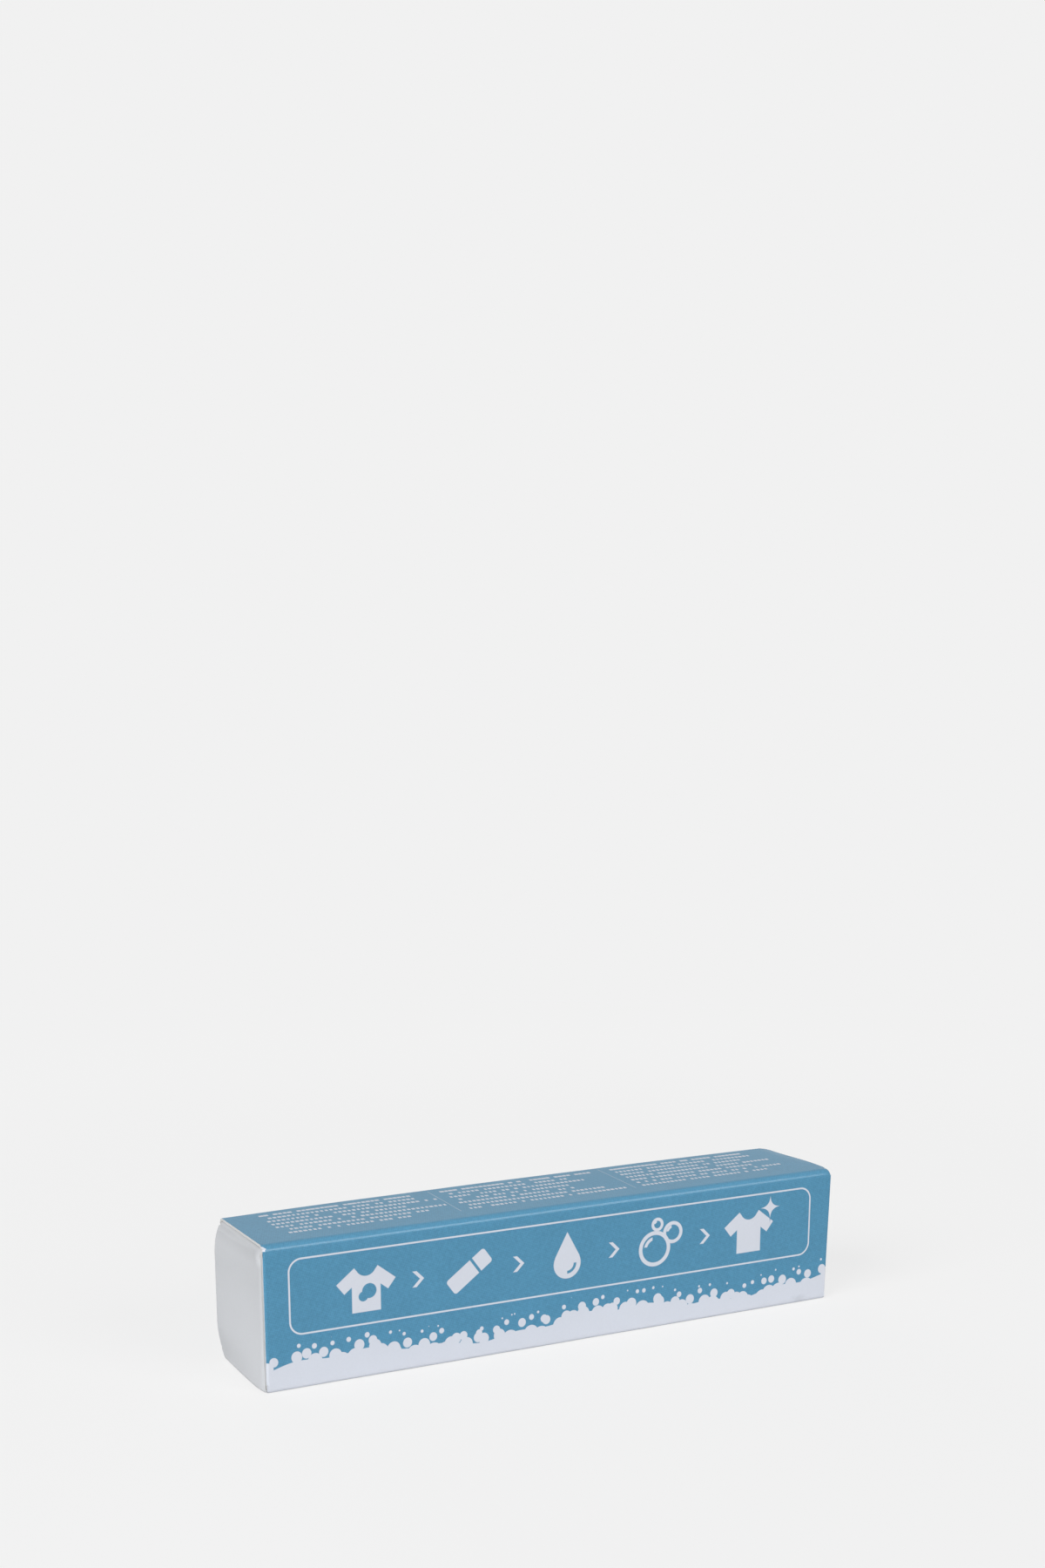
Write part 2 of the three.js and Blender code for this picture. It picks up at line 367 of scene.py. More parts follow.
# %% [markdown]
# Offset print is laid down as a screen of dots, and on white board it never covers quite evenly.
# Up close that gives flat blue a fine woven look. Two crossed waves at a slant make the screen and a
# little noise breaks it up. The screen is laid out flat over the upper folds, front and rear alike.

# %% Ink screen
screen_pitch = 0.58
screen_turn = math.radians(22)
speckle_scale, cover_scale = 2200.0, 160.0
screen_tone, speckle_tone, cover_tone = 0.07, 0.30, 0.08


def ink_screen_group():
    tree, given, outlet = new_group("Ink screen", {"Position": "Vector"}, {"Tone": "Float"})
    along, y, z = coordinates(tree, given["Position"])
    across = z - abs(y)
    c, s = math.cos(screen_turn), math.sin(screen_turn)
    first = (along * c + across * s) * (2 * math.pi / screen_pitch)
    second = (across * c - along * s) * (2 * math.pi / screen_pitch)
    screen = first.sine() * second.sine()
    speckle = noise(tree, given["Position"], speckle_scale, detail=1.0) - 0.5
    cover = noise(tree, given["Position"], cover_scale, detail=3.0) - 0.5
    tone = screen * screen_tone + speckle * speckle_tone + cover * cover_tone + 1.0
    plug(tree, tone, outlet.inputs["Tone"])
    return tree


ink_screen = ink_screen_group()
print("group", ink_screen.name, "nodes", len(ink_screen.nodes))

# %% [markdown]
# Drawings on the board are distance formulas: negative inside a shape, positive outside. The smaller
# of two distances joins shapes, the larger of one and minus the other cuts. A soft step turns a
# distance into ink with a clean edge at any zoom, which a painted picture wouldn't have.

# %% Drawing tools
def disc(u, v, at, radius):
    du, dv = u - at[0], v - at[1]
    return (du * du + dv * dv).root() - radius


def block(u, v, at, half):
    return (abs(u - at[0]) - half[0]).most(abs(v - at[1]) - half[1])


def rounded(u, v, at, half, radius):
    """A block with rounded corners."""
    a, b = abs(u - at[0]) - (half[0] - radius), abs(v - at[1]) - (half[1] - radius)
    p, q = a.most(0.0), b.most(0.0)
    return (p * p + q * q).root() + a.most(b).least(0.0) - radius


def turned(u, v, at, degrees):
    """Coordinates about a point, turned."""
    c, s = math.cos(math.radians(degrees)), math.sin(math.radians(degrees))
    du, dv = u - at[0], v - at[1]
    return du * c + dv * s, dv * c - du * s


def drawn(distance, soft=0.07):
    """Ink from a distance: 1 inside the shape, 0 outside, and soft at its edge."""
    return distance.step_from(soft, -soft)


print("drawing tools", [tool.__name__ for tool in (disc, block, rounded, turned, drawn)])

# %% [markdown]
# Along the lower edge of the front runs a band of suds in the white of the board: a solid band whose
# upper edge goes up and down in two waves, and discs over it that a Voronoi texture scatters, each
# smaller the higher it sits. Discs could be placed one by one, but a texture needs no list of them. It
# is a group, because the rear has the band as well.

# %% Suds
band_height = 4.3
long_wave, long_start, long_rise = 0.115, 0.5, 1.0
short_wave, short_rise = 0.43, 0.4
disc_scale, disc_size, disc_shrink, disc_soft = 0.44, 0.60, 0.155, 0.03


def combine(tree, x, y, z=0.0):
    node = add_node(tree, "ShaderNodeCombineXYZ")
    for slot, value in zip(node.inputs, (x, y, z)):
        plug(tree, value, slot)
    return Wire(tree, node.outputs[0])


def suds_group():
    tree, given, outlet = new_group("Suds", {"Across": "Float", "Up": "Float"}, {"White": "Float"})
    u, v = given["Across"], given["Up"]
    waves = (u * long_wave + long_start).sine() * long_rise + (u * short_wave).sine() * short_rise
    level = waves + band_height
    cells = add_node(tree, "ShaderNodeTexVoronoi", voronoi_dimensions="2D")
    plug(tree, combine(tree, u, v), cells.inputs["Vector"])
    cells.inputs["Scale"].default_value = disc_scale
    reach = (v - level) * -disc_shrink + disc_size
    discs = Wire(tree, cells.outputs["Distance"]) - reach
    white = drawn(v - level).most(drawn(discs, disc_soft))
    plug(tree, white, outlet.inputs["White"])
    return tree


suds = suds_group()
print("group", suds.name, "nodes", len(suds.nodes))

# %% [markdown]
# The front carries five plain pictograms, which tell how a stain is washed out: a stained shirt, the
# stick, a drop of water, suds, a clean shirt. Three of their shapes are used more than once, so they
# are helpers. A shirt is drawn as one half and mirrored by the absolute value of u.

# %% Shirt, bubble and sparkle
gleam_radius, gleam_stroke, gleam_side = 0.66, 0.8, 0.16
sparkle_stretch = 1.4


def shirt(u, v):
    a = abs(u)
    body = block(a, v, at=(0, -0.7), half=(2.4, 3.3))
    p, q = turned(a, v, at=(2.1, 1.75), degrees=-38)
    sleeve = block(p, q, at=(0.9, 0.0), half=(1.9, 1.05))
    neck = disc(a, v, at=(0, 3.5), radius=1.75)
    return body.least(sleeve).most(-neck)


def bubble(u, v, at, radius, stroke):
    """A ring with a short gleam inside its upper left."""
    rim = abs(disc(u, v, at, radius)) - stroke
    gleam = abs(disc(u, v, at, gleam_radius * radius)) - gleam_stroke * stroke
    side = gleam_side * radius
    gleam = gleam.most(u - (at[0] - side)).most(-(v - (at[1] + side)))
    return rim.least(gleam)


def sparkle(u, v, at, size):
    """A star with four hollow sides. Its formula isn't a true distance, so it is stretched a little."""
    du, dv = abs(u - at[0]), abs(v - at[1])
    return (du.root() + dv.root() - math.sqrt(size)) * sparkle_stretch


print("shapes", [shape.__name__ for shape in (shirt, bubble, sparkle)])

# %% [markdown]
# Each pictogram is a function of its own, in millimetres about its middle. One shape cuts another by
# the larger of a distance and minus the other, as the stain does in the shirt and the shine in the
# drop. The drop is a disc with two straight sides that meet in a point.

# %% Pictograms
band_place, band_half = 1.35, 0.24
drop_middle, drop_radius = (0, -1.2), 2.5
drop_tip, side_across, side_up, sides_end = 4.1, 0.877, 0.48, -0.05
shine_radius, shine_stroke = 1.45, 0.24
sparkle_place = (4.3, 3.4)


def stained_shirt(p, q):
    stain = disc(p, q, at=(0.5, -0.7), radius=1.2).least(disc(p, q, at=(-0.5, -1.5), radius=0.8))
    return shirt(p, q).most(-stain)


def stick(p, q):
    p, q = turned(p, q, at=(0, 0), degrees=36)
    bar = rounded(p, q, at=(0, 0), half=(4.1, 1.4), radius=0.5)
    band = abs(p - band_place) - band_half
    return bar.most(-band)


def drop(p, q):
    point = (abs(p) * side_across + (q - drop_tip) * side_up).most(-(q - sides_end))
    shine = abs(disc(p, q, drop_middle, shine_radius)) - shine_stroke
    shine = shine.most(-p).most(q - drop_middle[1])
    return point.least(disc(p, q, drop_middle, drop_radius)).most(-shine)


def bubbles(p, q):
    large = bubble(p, q, at=(-1.1, -0.9), radius=2.7, stroke=0.34)
    medium = bubble(p, q, at=(2.4, 1.5), radius=1.6, stroke=0.30)
    small = bubble(p, q, at=(-0.6, 3.2), radius=0.9, stroke=0.26)
    return large.least(medium).least(small)


def clean_shirt(p, q):
    clean = shirt(p, q).most(-sparkle(p, q, sparkle_place, size=3.0))
    return clean.least(sparkle(p, q, sparkle_place, size=2.2))


pictograms = (stained_shirt, stick, drop, bubbles, clean_shirt)
print("pictograms", [pictogram.__name__ for pictogram in pictograms])

# %% [markdown]
# The five pictograms stand in a row, with a small arrowhead between each two and a thin frame round
# them. They have the white of the board, because such a print leaves the board bare where it is white.
# Thin modelled shapes would catch the light at their edges, as print never does.

# %% Front drawing
picture_row = 17.0
picture_step = 20.5
picture_scale = 1.16
arrow_tip, arrow_stroke, arrow_half = 0.7, 0.42, 1.5
frame_half, frame_corner, frame_stroke = (55.6, 6.9), 2.4, 0.16


def pictures(u, v):
    """The five pictograms, joined into one distance."""
    shapes = []
    q = (v - picture_row) * (1 / picture_scale)
    for place, pictogram in enumerate(pictograms, start=-2):
        p = (u - place * picture_step) * (1 / picture_scale)
        shapes.append(pictogram(p, q))
    joined = shapes[0]
    for shape in shapes[1:]:
        joined = joined.least(shape)
    return joined


def arrowheads(u, v):
    """A small arrowhead between each two pictograms."""
    between = u * (1 / picture_step) - 0.5
    a = (between - between.math("ROUND")) * picture_step
    b = abs(v - picture_row)
    arrow = (abs(a + b - arrow_tip) - arrow_stroke).most(b - arrow_half)
    return arrow.most(abs(u) - 2 * picture_step)


def front_drawing_group():
    tree, given, outlet = new_group(
        "Front drawing", {"Across": "Float", "Up": "Float"}, {"White": "Float"}
    )
    u, v = given["Across"], given["Up"]
    frame_line = abs(rounded(u, v, (0, picture_row), frame_half, frame_corner)) - frame_stroke
    art = pictures(u, v).least(arrowheads(u, v)).least(frame_line)
    plug(tree, drawn(art), outlet.inputs["White"])
    return tree


front_drawing = front_drawing_group()
print("group", front_drawing.name, "nodes", len(front_drawing.nodes))

# %% [markdown]
# The top and the rear have three columns of fine rows, made of small plain blocks of one height. A
# White Noise texture gives every cell of a row a number of its own, which says whether the cell is
# blank and how wide its block is. Modelled blocks would be far too many for so fine a print.

# %% Blocks of a row
block_half, width_spread, width_shift, first_row_extra = 0.26, 0.14, 100.0, 0.10
block_middle, block_half_height = 0.51, 0.21
blank_share = 0.15
side_soft, edge_soft = 0.05, 0.03


def chance(tree, x, y):
    """A number between 0 and 1 that is fixed for each pair of whole numbers."""
    node = add_node(tree, "ShaderNodeTexWhiteNoise", noise_dimensions="2D")
    plug(tree, combine(tree, x, y), node.inputs["Vector"])
    return Wire(tree, node.outputs["Value"])


def blocks(tree, line, row, down, cell, across):
    """The ink of one cell, from its place and from where a point lies in it."""
    filled = chance(tree, cell, line).over(blank_share)
    wide = chance(tree, cell + width_shift, line) * width_spread
    wide = wide + row.under(1.0) * first_row_extra + block_half
    ink = drawn(abs(across - 0.5) - wide, side_soft) * filled
    return ink * drawn(abs(down - block_middle) - block_half_height, edge_soft)


print("blank cells", blank_share, "block height", round(2 * block_half_height, 2), "of a row")

# %% [markdown]
# The rows of a column differ in length, and a thin bar stands between each two columns. The columns
# could be three groups, but one group that counts from the start of its own column does for all. Each
# column shifts the number of its rows, so that no two columns are alike.

# %% Small rows
row_pitch, row_count = 2.1, 7
block_pitch = 0.92
column_starts, column_gap, column_shift = (-54.0, -17.5, 20.0), 2.0, 20.0
shortest_row, row_spread = 26.0, 11.0
bar_half, block_ink, bar_ink = 0.07, 0.92, 0.5


def whole_and_rest(value):
    return value.math("FLOOR"), value.math("FRACT")


def small_rows_group():
    tree, given, outlet = new_group(
        "Small rows", {"Across": "Float", "Down": "Float"}, {"White": "Float"}
    )
    u, v = given["Across"], given["Down"]
    first, second, third = column_starts
    in_second = u.over(second - column_gap)
    in_third = u.over(third - column_gap)
    along = u - first - in_second * (second - first) - in_third * (third - second)
    row, down = whole_and_rest(v * (1 / row_pitch))
    cell, across = whole_and_rest(along * (1 / block_pitch))
    line = row + in_second * column_shift + in_third * column_shift
    ink = blocks(tree, line, row, down, cell, across)
    cells_in_row = chance(tree, line, -1.0) * row_spread + shortest_row
    inside = cell.over(-0.5) * (cells_in_row - cell).over(0.0)
    inside = inside * row.over(-0.5) * row.under(row_count - 0.5)
    bars = abs(u - (second - column_gap)).least(abs(u - (third - column_gap))) - bar_half
    half_column = row_count * row_pitch / 2
    bars = bars.most(abs(v - half_column) - half_column)
    plug(tree, (ink * inside * block_ink).most(drawn(bars) * bar_ink), outlet.inputs["White"])
    return tree


small_rows = small_rows_group()
print("group", small_rows.name, "nodes", len(small_rows.nodes))

# %% [markdown]
# Where creases meet at a corner of the left end the ink flakes off and the white board shows, and a few
# fine cracks lie close to the long folds. The mask is the distance to the nearest corner, broken up by
# noise. It could be painted, but a formula fits every printed panel, so they share one group.

# %% Chipped corners
chip_in_x, chip_in_y, chip_in_z = 0.1, 0.35, 0.6
flake_scale, flake_spread = 1500.0, 1.1
chip_full, chip_ends = 0.38, 0.52
crack_scale, crack_from, crack_full = 900.0, 0.70, 0.76
crack_near, crack_far, crack_white = 0.2, 1.0, 0.4


def chipped_corners_group():
    tree, given, outlet = new_group("Chipped corners", {"Position": "Vector"}, {"Bare": "Float"})
    x, y, z = coordinates(tree, given["Position"])
    dx = x + (half_length / mm - chip_in_x)
    dy = abs(y) - (half_depth / mm - chip_in_y)
    dz = abs(z - height / mm / 2) - (height / mm / 2 - chip_in_z)
    reach = (dx * dx + dy * dy + dz * dz).root()
    flakes = noise(tree, given["Position"], flake_scale, detail=3.0, roughness=0.65)
    bare = (reach + (flakes - 0.5) * flake_spread).step_from(chip_ends, chip_full)
    crack = noise(tree, given["Position"], crack_scale, detail=4.0, roughness=0.7)
    crack = crack.step_from(crack_from, crack_full)
    crack = crack * abs(dy).step_from(crack_far, crack_near) * abs(dz).step_from(crack_far, crack_near)
    plug(tree, bare.most(crack * crack_white), outlet.inputs["Bare"])
    return tree


chipped_corners = chipped_corners_group()
print("group", chipped_corners.name, "nodes", len(chipped_corners.nodes))

# %% [markdown]
# The print has to stay in its place when a flap bends, and Object coordinates would slide then. So each
# board carries its points' places in the closed carton as an attribute, which its finishes read. The
# helpers here place a group in a finish, mix and scale colours, and turn a height into bump.

# %% Finish tools
closed_place = "closed_place"


def board_position(tree):
    """Where a point of a board lies while the carton is closed."""
    node = add_node(tree, "ShaderNodeAttribute", attribute_name=closed_place)
    return Wire(tree, node.outputs["Vector"])


def use_group(tree, group, **inputs):
    """Places a group in a tree and gives back its outputs by name."""
    node = add_node(tree, "ShaderNodeGroup", node_tree=group)
    for title, value in inputs.items():
        plug(tree, value, node.inputs[title])
    return {socket.name: Wire(tree, socket) for socket in node.outputs}


def mix_colour(tree, amount, first, second):
    """first where amount is 0 and second where it is 1."""
    node = add_node(tree, "ShaderNodeMix", data_type="RGBA")
    plug(tree, amount, node.inputs["Factor"])
    plug(tree, first, node.inputs[6])  # A and B of the colour kind come after those for numbers
    plug(tree, second, node.inputs[7])
    return Wire(tree, node.outputs[2])


def scale_colour(tree, colour, amount):
    node = add_node(tree, "ShaderNodeVectorMath", operation="SCALE")
    plug(tree, colour, node.inputs[0])
    plug(tree, amount, node.inputs["Scale"])
    return Wire(tree, node.outputs[0])


def add_bump(tree, shader, height_wire, strength, distance):
    bump = add_node(tree, "ShaderNodeBump")
    bump.inputs["Strength"].default_value = strength
    bump.inputs["Distance"].default_value = distance
    plug(tree, height_wire, bump.inputs["Height"])
    tree.links.new(bump.outputs["Normal"], shader.inputs["Normal"])


print("groups to place", [group.name for group in bpy.data.node_groups])

# %% [markdown]
# The printed finish is blue ink on white board under a thin satin varnish. The drawing's white mask
# mixes the two colours, so one shader serves both, and the varnish is its coat. Ink and bare board
# differ a little in gloss, and the fibre shows as faint bump under both.

# %% Printed finish
ink_blue = (0.091, 0.284, 0.446)
board_white = (0.690, 0.720, 0.793)
ink_roughness, bare_roughness, fibre_roughness = 0.56, 0.08, 0.12
varnish, varnish_roughness, ink_specular = 0.48, 0.18, 0.03


def printed_board(name, draw, paper=board_white, grey_spot_and_painted_light=None):
    """A printed finish. From millimetres, draw gives the white mask, and the optional last argument what
    is taken off the bare board's tone: a grey spot on the front, painted shade and a painted highlight
    on the left end.
    """
    material, tree, shader = new_finish(name)
    position = board_position(tree)
    x, y, z = coordinates(tree, position)
    grain = use_group(tree, board_grain, Position=position)
    screen = use_group(tree, ink_screen, Position=position)
    chips = use_group(tree, chipped_corners, Position=position)
    white = draw(tree, x, y, z).most(chips["Bare"])
    # On the left end this takes off painted shade and adds a painted highlight.
    tone = grain["Tone"] - grey_spot_and_painted_light(tree, x, y, z) if grey_spot_and_painted_light else grain["Tone"]
    blue = scale_colour(tree, ink_blue, screen["Tone"])
    bare = scale_colour(tree, paper, tone)
    plug(tree, mix_colour(tree, white, blue, bare), shader.inputs["Base Color"])
    roughness = white * bare_roughness + (grain["Height"] - 0.5) * fibre_roughness + ink_roughness
    plug(tree, roughness, shader.inputs["Roughness"])
    shader.inputs["Specular IOR Level"].default_value = ink_specular
    shader.inputs["Coat Weight"].default_value = varnish
    shader.inputs["Coat Roughness"].default_value = varnish_roughness
    add_bump(tree, shader, grain["Height"], strength=0.35, distance=0.02 * mm)
    return material, tree


def listed(finish):
    """Prints how many nodes a finish took, and gives back its material."""
    material, tree = finish
    print(material.name, "nodes", len(tree.nodes))
    return material


print("ink", ink_blue, "board", board_white)

# %% [markdown]
# The front has the drawing and the suds, and a faint grey spot on the white near its lower right corner.
# The top has the small rows, and the rear has the rows and the suds.
# One finish with switches could serve all three, but a short drawing for each is easier to change.

# %% Prints of the long panels
grey_spot_x, grey_spot_z, grey_spot_stretch = 53.6, 0.9, 0.45
grey_spot_scale, grey_spot_spread = 900.0, 1.2
grey_spot_full, grey_spot_ends, grey_spot_depth = 0.7, 1.7, 0.12
top_first_row, rear_first_row = 8.8, 23.0


def draw_front(tree, x, y, z):
    white = use_group(tree, front_drawing, Across=x, Up=z)["White"]
    return white.most(use_group(tree, suds, Across=x, Up=z)["White"])


# A faint grey spot near the lower right corner of the front.
def grey_front_spot(tree, x, y, z):
    dx, dz = (x - grey_spot_x) * grey_spot_stretch, z - grey_spot_z
    rough = noise(tree, board_position(tree), grey_spot_scale, detail=3.0) * grey_spot_spread
    return ((dx * dx + dz * dz).root() + rough).step_from(grey_spot_ends, grey_spot_full) * grey_spot_depth


def draw_top(tree, x, y, z):
    return use_group(tree, small_rows, Across=x, Down=-(y - top_first_row))["White"]


def draw_rear(tree, x, y, z):
    rows = use_group(tree, small_rows, Across=-x, Down=-(z - rear_first_row))["White"]
    return rows.most(use_group(tree, suds, Across=-x, Up=z)["White"])


front_print = listed(printed_board("front_print", draw_front, grey_spot_and_painted_light=grey_front_spot))
top_print = listed(printed_board("top_print", draw_top))
rear_print = listed(printed_board("rear_print", draw_rear))

# %% [markdown]
# The flaps at the ends are bare board, but print always bleeds a little over a crease: the dust flaps
# keep a line of the long panels' blue, and the right end a ragged lap of the top's. The left end has
# painted shade that greys it towards its top, and a painted highlight that makes its upper front corner
# paler. Formulas of the place do for that, and they go along with the flap when it opens.

# %% Prints of the ends, with painted light
end_white = (0.660, 0.677, 0.705)
bleed_from, bleed_full = 0.30, 0.20
lap_from, lap_full, lap_scale, lap_spread = 1.35, 1.2, 700.0, 0.5
# Painted shade on the left end in two steps up its height, and a painted highlight at its upper front
# corner.
low_painted_shade_from, low_painted_shade_full, low_painted_shade = 13.0, 22.0, 0.06
high_painted_shade_from, high_painted_shade_full, high_painted_shade = 22.5, 26.0, 0.11
painted_highlight_in, painted_highlight_down, painted_highlight_scale, painted_highlight_spread = 0.7, 2.2, 700.0, 1.5
painted_highlight_full, painted_highlight_ends, painted_highlight_pale = -0.6, 1.4, 0.2
painted_light_starts, painted_light_whole = -59.0, -60.2


def draw_dust(tree, x, y, z):
    bare = abs(y).step_from(half_depth / mm - bleed_full, half_depth / mm - bleed_from)
    return bare.most(use_group(tree, suds, Across=x, Up=z)["White"])


def draw_end(tree, x, y, z):
    rough = noise(tree, board_position(tree), lap_scale) * lap_spread
    lap = (z + rough).step_from(height / mm - lap_from, height / mm - lap_full) * x.over(0.0)
    return -lap + 1.0


# Painted light of the left end: painted shade that greys it towards its top, and a painted highlight
# that makes its upper front corner paler.
def painted_end_light(tree, x, y, z):
    painted_shade = z.step_from(low_painted_shade_from, low_painted_shade_full) * low_painted_shade
    painted_shade = painted_shade + z.step_from(high_painted_shade_from, high_painted_shade_full) * high_painted_shade
    rough = noise(tree, board_position(tree), painted_highlight_scale) * painted_highlight_spread
    dy, dz = y + (half_depth / mm - painted_highlight_in), z - (height / mm - painted_highlight_down)
    painted_highlight = ((dy * dy + dz * dz).root() - rough).step_from(painted_highlight_ends, painted_highlight_full)
    return (painted_shade - painted_highlight * painted_highlight_pale) * x.step_from(painted_light_starts, painted_light_whole)


dust_print = listed(printed_board("dust_print", draw_dust))
end_print_and_painted_light = listed(printed_board("end_print_and_painted_light", draw_end, end_white, painted_end_light))

# %% [markdown]
# The unprinted sides. The bottom is white coated board, the inside is bare grey-cream board with
# darker fibres in it, and a cut edge shows the layers of the board as fine streaks along it. A cut edge
# is its own finish, because a real one is never as white as the face beside it.

# %% Bare board
inner_cream, inner_fleck = (0.60, 0.57, 0.51, 1), (0.40, 0.36, 0.30, 1)
fleck_scale, fleck_from, fleck_full, fleck_share = 1300.0, 0.62, 0.75, 0.5
edge_dark, edge_pale = (0.60, 0.605, 0.60, 1), (0.72, 0.725, 0.725, 1)
streak_scale = 5200.0
white_rough, white_spread = 0.52, 0.15
inner_rough, inner_spread = 0.80, 0.2
edge_rough, edge_spread = 0.78, 0.15


def white_board(name):
    material, tree, shader = new_finish(name)
    grain = use_group(tree, board_grain, Position=board_position(tree))
    plug(tree, scale_colour(tree, board_white, grain["Tone"]), shader.inputs["Base Color"])
    plug(tree, (grain["Height"] - 0.5) * white_spread + white_rough, shader.inputs["Roughness"])
    add_bump(tree, shader, grain["Height"], strength=0.35, distance=0.02 * mm)
    return material, tree


def inner_board(name):
    material, tree, shader = new_finish(name)
    position = board_position(tree)
    grain = use_group(tree, board_grain, Position=position)
    flecks = noise(tree, position, fleck_scale, detail=4.0, roughness=0.7)
    flecks = flecks.step_from(fleck_from, fleck_full) * fleck_share
    cream = mix_colour(tree, flecks, inner_cream, inner_fleck)
    plug(tree, scale_colour(tree, cream, grain["Tone"]), shader.inputs["Base Color"])
    plug(tree, (grain["Height"] - 0.5) * inner_spread + inner_rough, shader.inputs["Roughness"])
    add_bump(tree, shader, grain["Height"], strength=0.6, distance=0.03 * mm)
    return material, tree


def cut_edge(name):
    material, tree, shader = new_finish(name)
    streaks = noise(tree, board_position(tree), streak_scale, detail=3.0, roughness=0.7)
    plug(tree, mix_colour(tree, streaks, edge_dark, edge_pale), shader.inputs["Base Color"])
    plug(tree, streaks * edge_spread + edge_rough, shader.inputs["Roughness"])
    add_bump(tree, shader, streaks, strength=0.6, distance=0.03 * mm)
    return material, tree


white_outside = listed(white_board("white_outside"))
bare_inside = listed(inner_board("bare_inside"))
raw_edge = listed(cut_edge("raw_edge"))

# %% [markdown]
# Every board starts as a flat grid, added at its size and place and turned to its face of the carton.
# A single face would do for its outline, but folds, waves and warp need points to move. By hand its
# border edges would be clicked, and here they are picked in edit mode by where they lie.

# %% Sheets
def board_sheet(name, size, grid, place, turn):
    """A flat grid of size across and up, added at its place and turned to face outwards."""
    bpy.ops.object.select_all(action="DESELECT")
    bpy.ops.mesh.primitive_grid_add(
        x_subdivisions=grid[0], y_subdivisions=grid[1], size=1, location=place, rotation=turn
    )
    sheet = bpy.context.object
    sheet.name = sheet.data.name = name
    sheet.scale = (size[0], size[1], 1)
    bpy.ops.object.transform_apply(location=True, rotation=True, scale=True)
    return sheet


def near(value, target, reach=0.01 * mm):
    return abs(value - target) < reach


def pick_edges(piece, test):
    """In edit mode, selects the edges that pass the test."""
    bpy.ops.mesh.select_mode(type="EDGE")
    bpy.ops.mesh.select_all(action="DESELECT")
    mesh = bmesh.from_edit_mesh(piece.data)
    for edge in mesh.edges:
        if test(edge):
            edge.select_set(True)
    mesh.select_flush_mode()
    bmesh.update_edit_mesh(piece.data)


def pick_border(sheet, test):
    """Selects the edges on a sheet's border whose middle passes the test."""
    pick_edges(sheet, lambda edge: edge.is_boundary and test((edge.verts[0].co + edge.verts[1].co) / 2))


print("sheet tools", [tool.__name__ for tool in (board_sheet, pick_edges, pick_border)])

# %% [markdown]
# A crease is a small arc, after which the board carries on straight. A Bevel could round a folded sheet
# too, but Spin is the natural tool here: it rolls a border edge round the middle of the fold, and the
# edge stays selected, so that Extrude can carry it on. Spin can leave doubled points and faces that
# look inwards, so both are put right before a sheet gets its thickness.

# %% Folds
x_axis, y_axis, z_axis = (1, 0, 0), (0, 1, 0), (0, 0, 1)
merge_reach = 0.002 * mm


def roll_edge(sheet, test, centre, axis, degrees, steps=6):
    """Rolls the border edges that pass the test round a fold."""
    pick_border(sheet, test)
    bpy.ops.mesh.spin(steps=steps, angle=math.radians(degrees), center=centre, axis=axis)


def run_on(shift):
    """Carries the selected edge straight on."""
    bpy.ops.mesh.extrude_region_move(TRANSFORM_OT_translate={"value": shift})


def finish_edit(piece):
    """Merges doubled points, makes the faces agree and leaves edit mode."""
    bpy.ops.mesh.select_all(action="SELECT")
    bpy.ops.mesh.remove_doubles(threshold=merge_reach)
    bpy.ops.mesh.normals_make_consistent(inside=False)
    bpy.ops.object.mode_set(mode="OBJECT")


def face_out(sheet, outward):
    """Flips a sheet whose largest face looks the wrong way."""
    largest = max(sheet.data.polygons, key=lambda face: face.area)
    if largest.normal.dot(Vector(outward)) < 0:
        sheet.data.flip_normals()
        print(sheet.name, "flipped")


print("points merge within", merge_reach / mm, "mm")

# %% [markdown]
# No carton is a perfect box. On this one the right end leans out, the upper rear fold crowns along its
# length, and its right corner sags. A lattice could do that, but it would be a second shape to keep in
# step, and no edit-mode operator bends a sheet by a formula. So the points are moved one by one, by
# soft steps that leave the rest of the board straight.

# %% Warp
right_lean = 0.62 * mm
crown, crown_place, crown_left, crown_right = 0.45 * mm, 8 * mm, 68 * mm, 85 * mm
corner_sag, sag_start, sag_end = 0.66 * mm, 57.3 * mm, 60.4 * mm
sag_front, sag_rear = -6 * mm, 10 * mm


def soft_step(value, low, high):
    """0 below low, 1 above high, and smooth between."""
    t = min(1, max(0, (value - low) / (high - low)))
    return t * t * (3 - 2 * t)


def warp(sheet):
    for vertex in sheet.data.vertices:
        x, y, z = vertex.co
        reach = (x - crown_place) / (crown_right if x > crown_place else crown_left)
        lift = crown * (1 - reach**2) * soft_step(y, -half_depth, half_depth)
        lift -= corner_sag * soft_step(x, sag_start, sag_end) * soft_step(y, sag_front, sag_rear)
        vertex.co.x += right_lean * z / height * soft_step(x, 0, half_length)
        vertex.co.z += lift * soft_step(z, height / 2, height)


print("lean, crown, sag", in_mm(right_lean, crown, corner_sag))

# %% [markdown]
# Two modifiers finish a sheet: Displace for the faint waves of handled board, and Solidify for its
# thickness. Both could stay live, but they are applied, because the places on the finished board are
# noted later, and a live modifier would move them.

# %% Waves and thickness
waves = bpy.data.textures.new("board_waves", "CLOUDS")
waves.noise_scale = 22 * mm
waves.noise_depth = 1


def select_only(piece):
    """An operator acts on all that is selected, so nothing else may be."""
    bpy.ops.object.select_all(action="DESELECT")
    piece.select_set(True)
    bpy.context.view_layer.objects.active = piece


def apply_all(piece):
    select_only(piece)
    for modifier in list(piece.modifiers):
        bpy.ops.object.modifier_apply(modifier=modifier.name)


def add_waves(piece, strength):
    wave = piece.modifiers.new("waves", "DISPLACE")
    wave.texture = waves
    wave.texture_coords = "LOCAL"
    wave.strength = strength


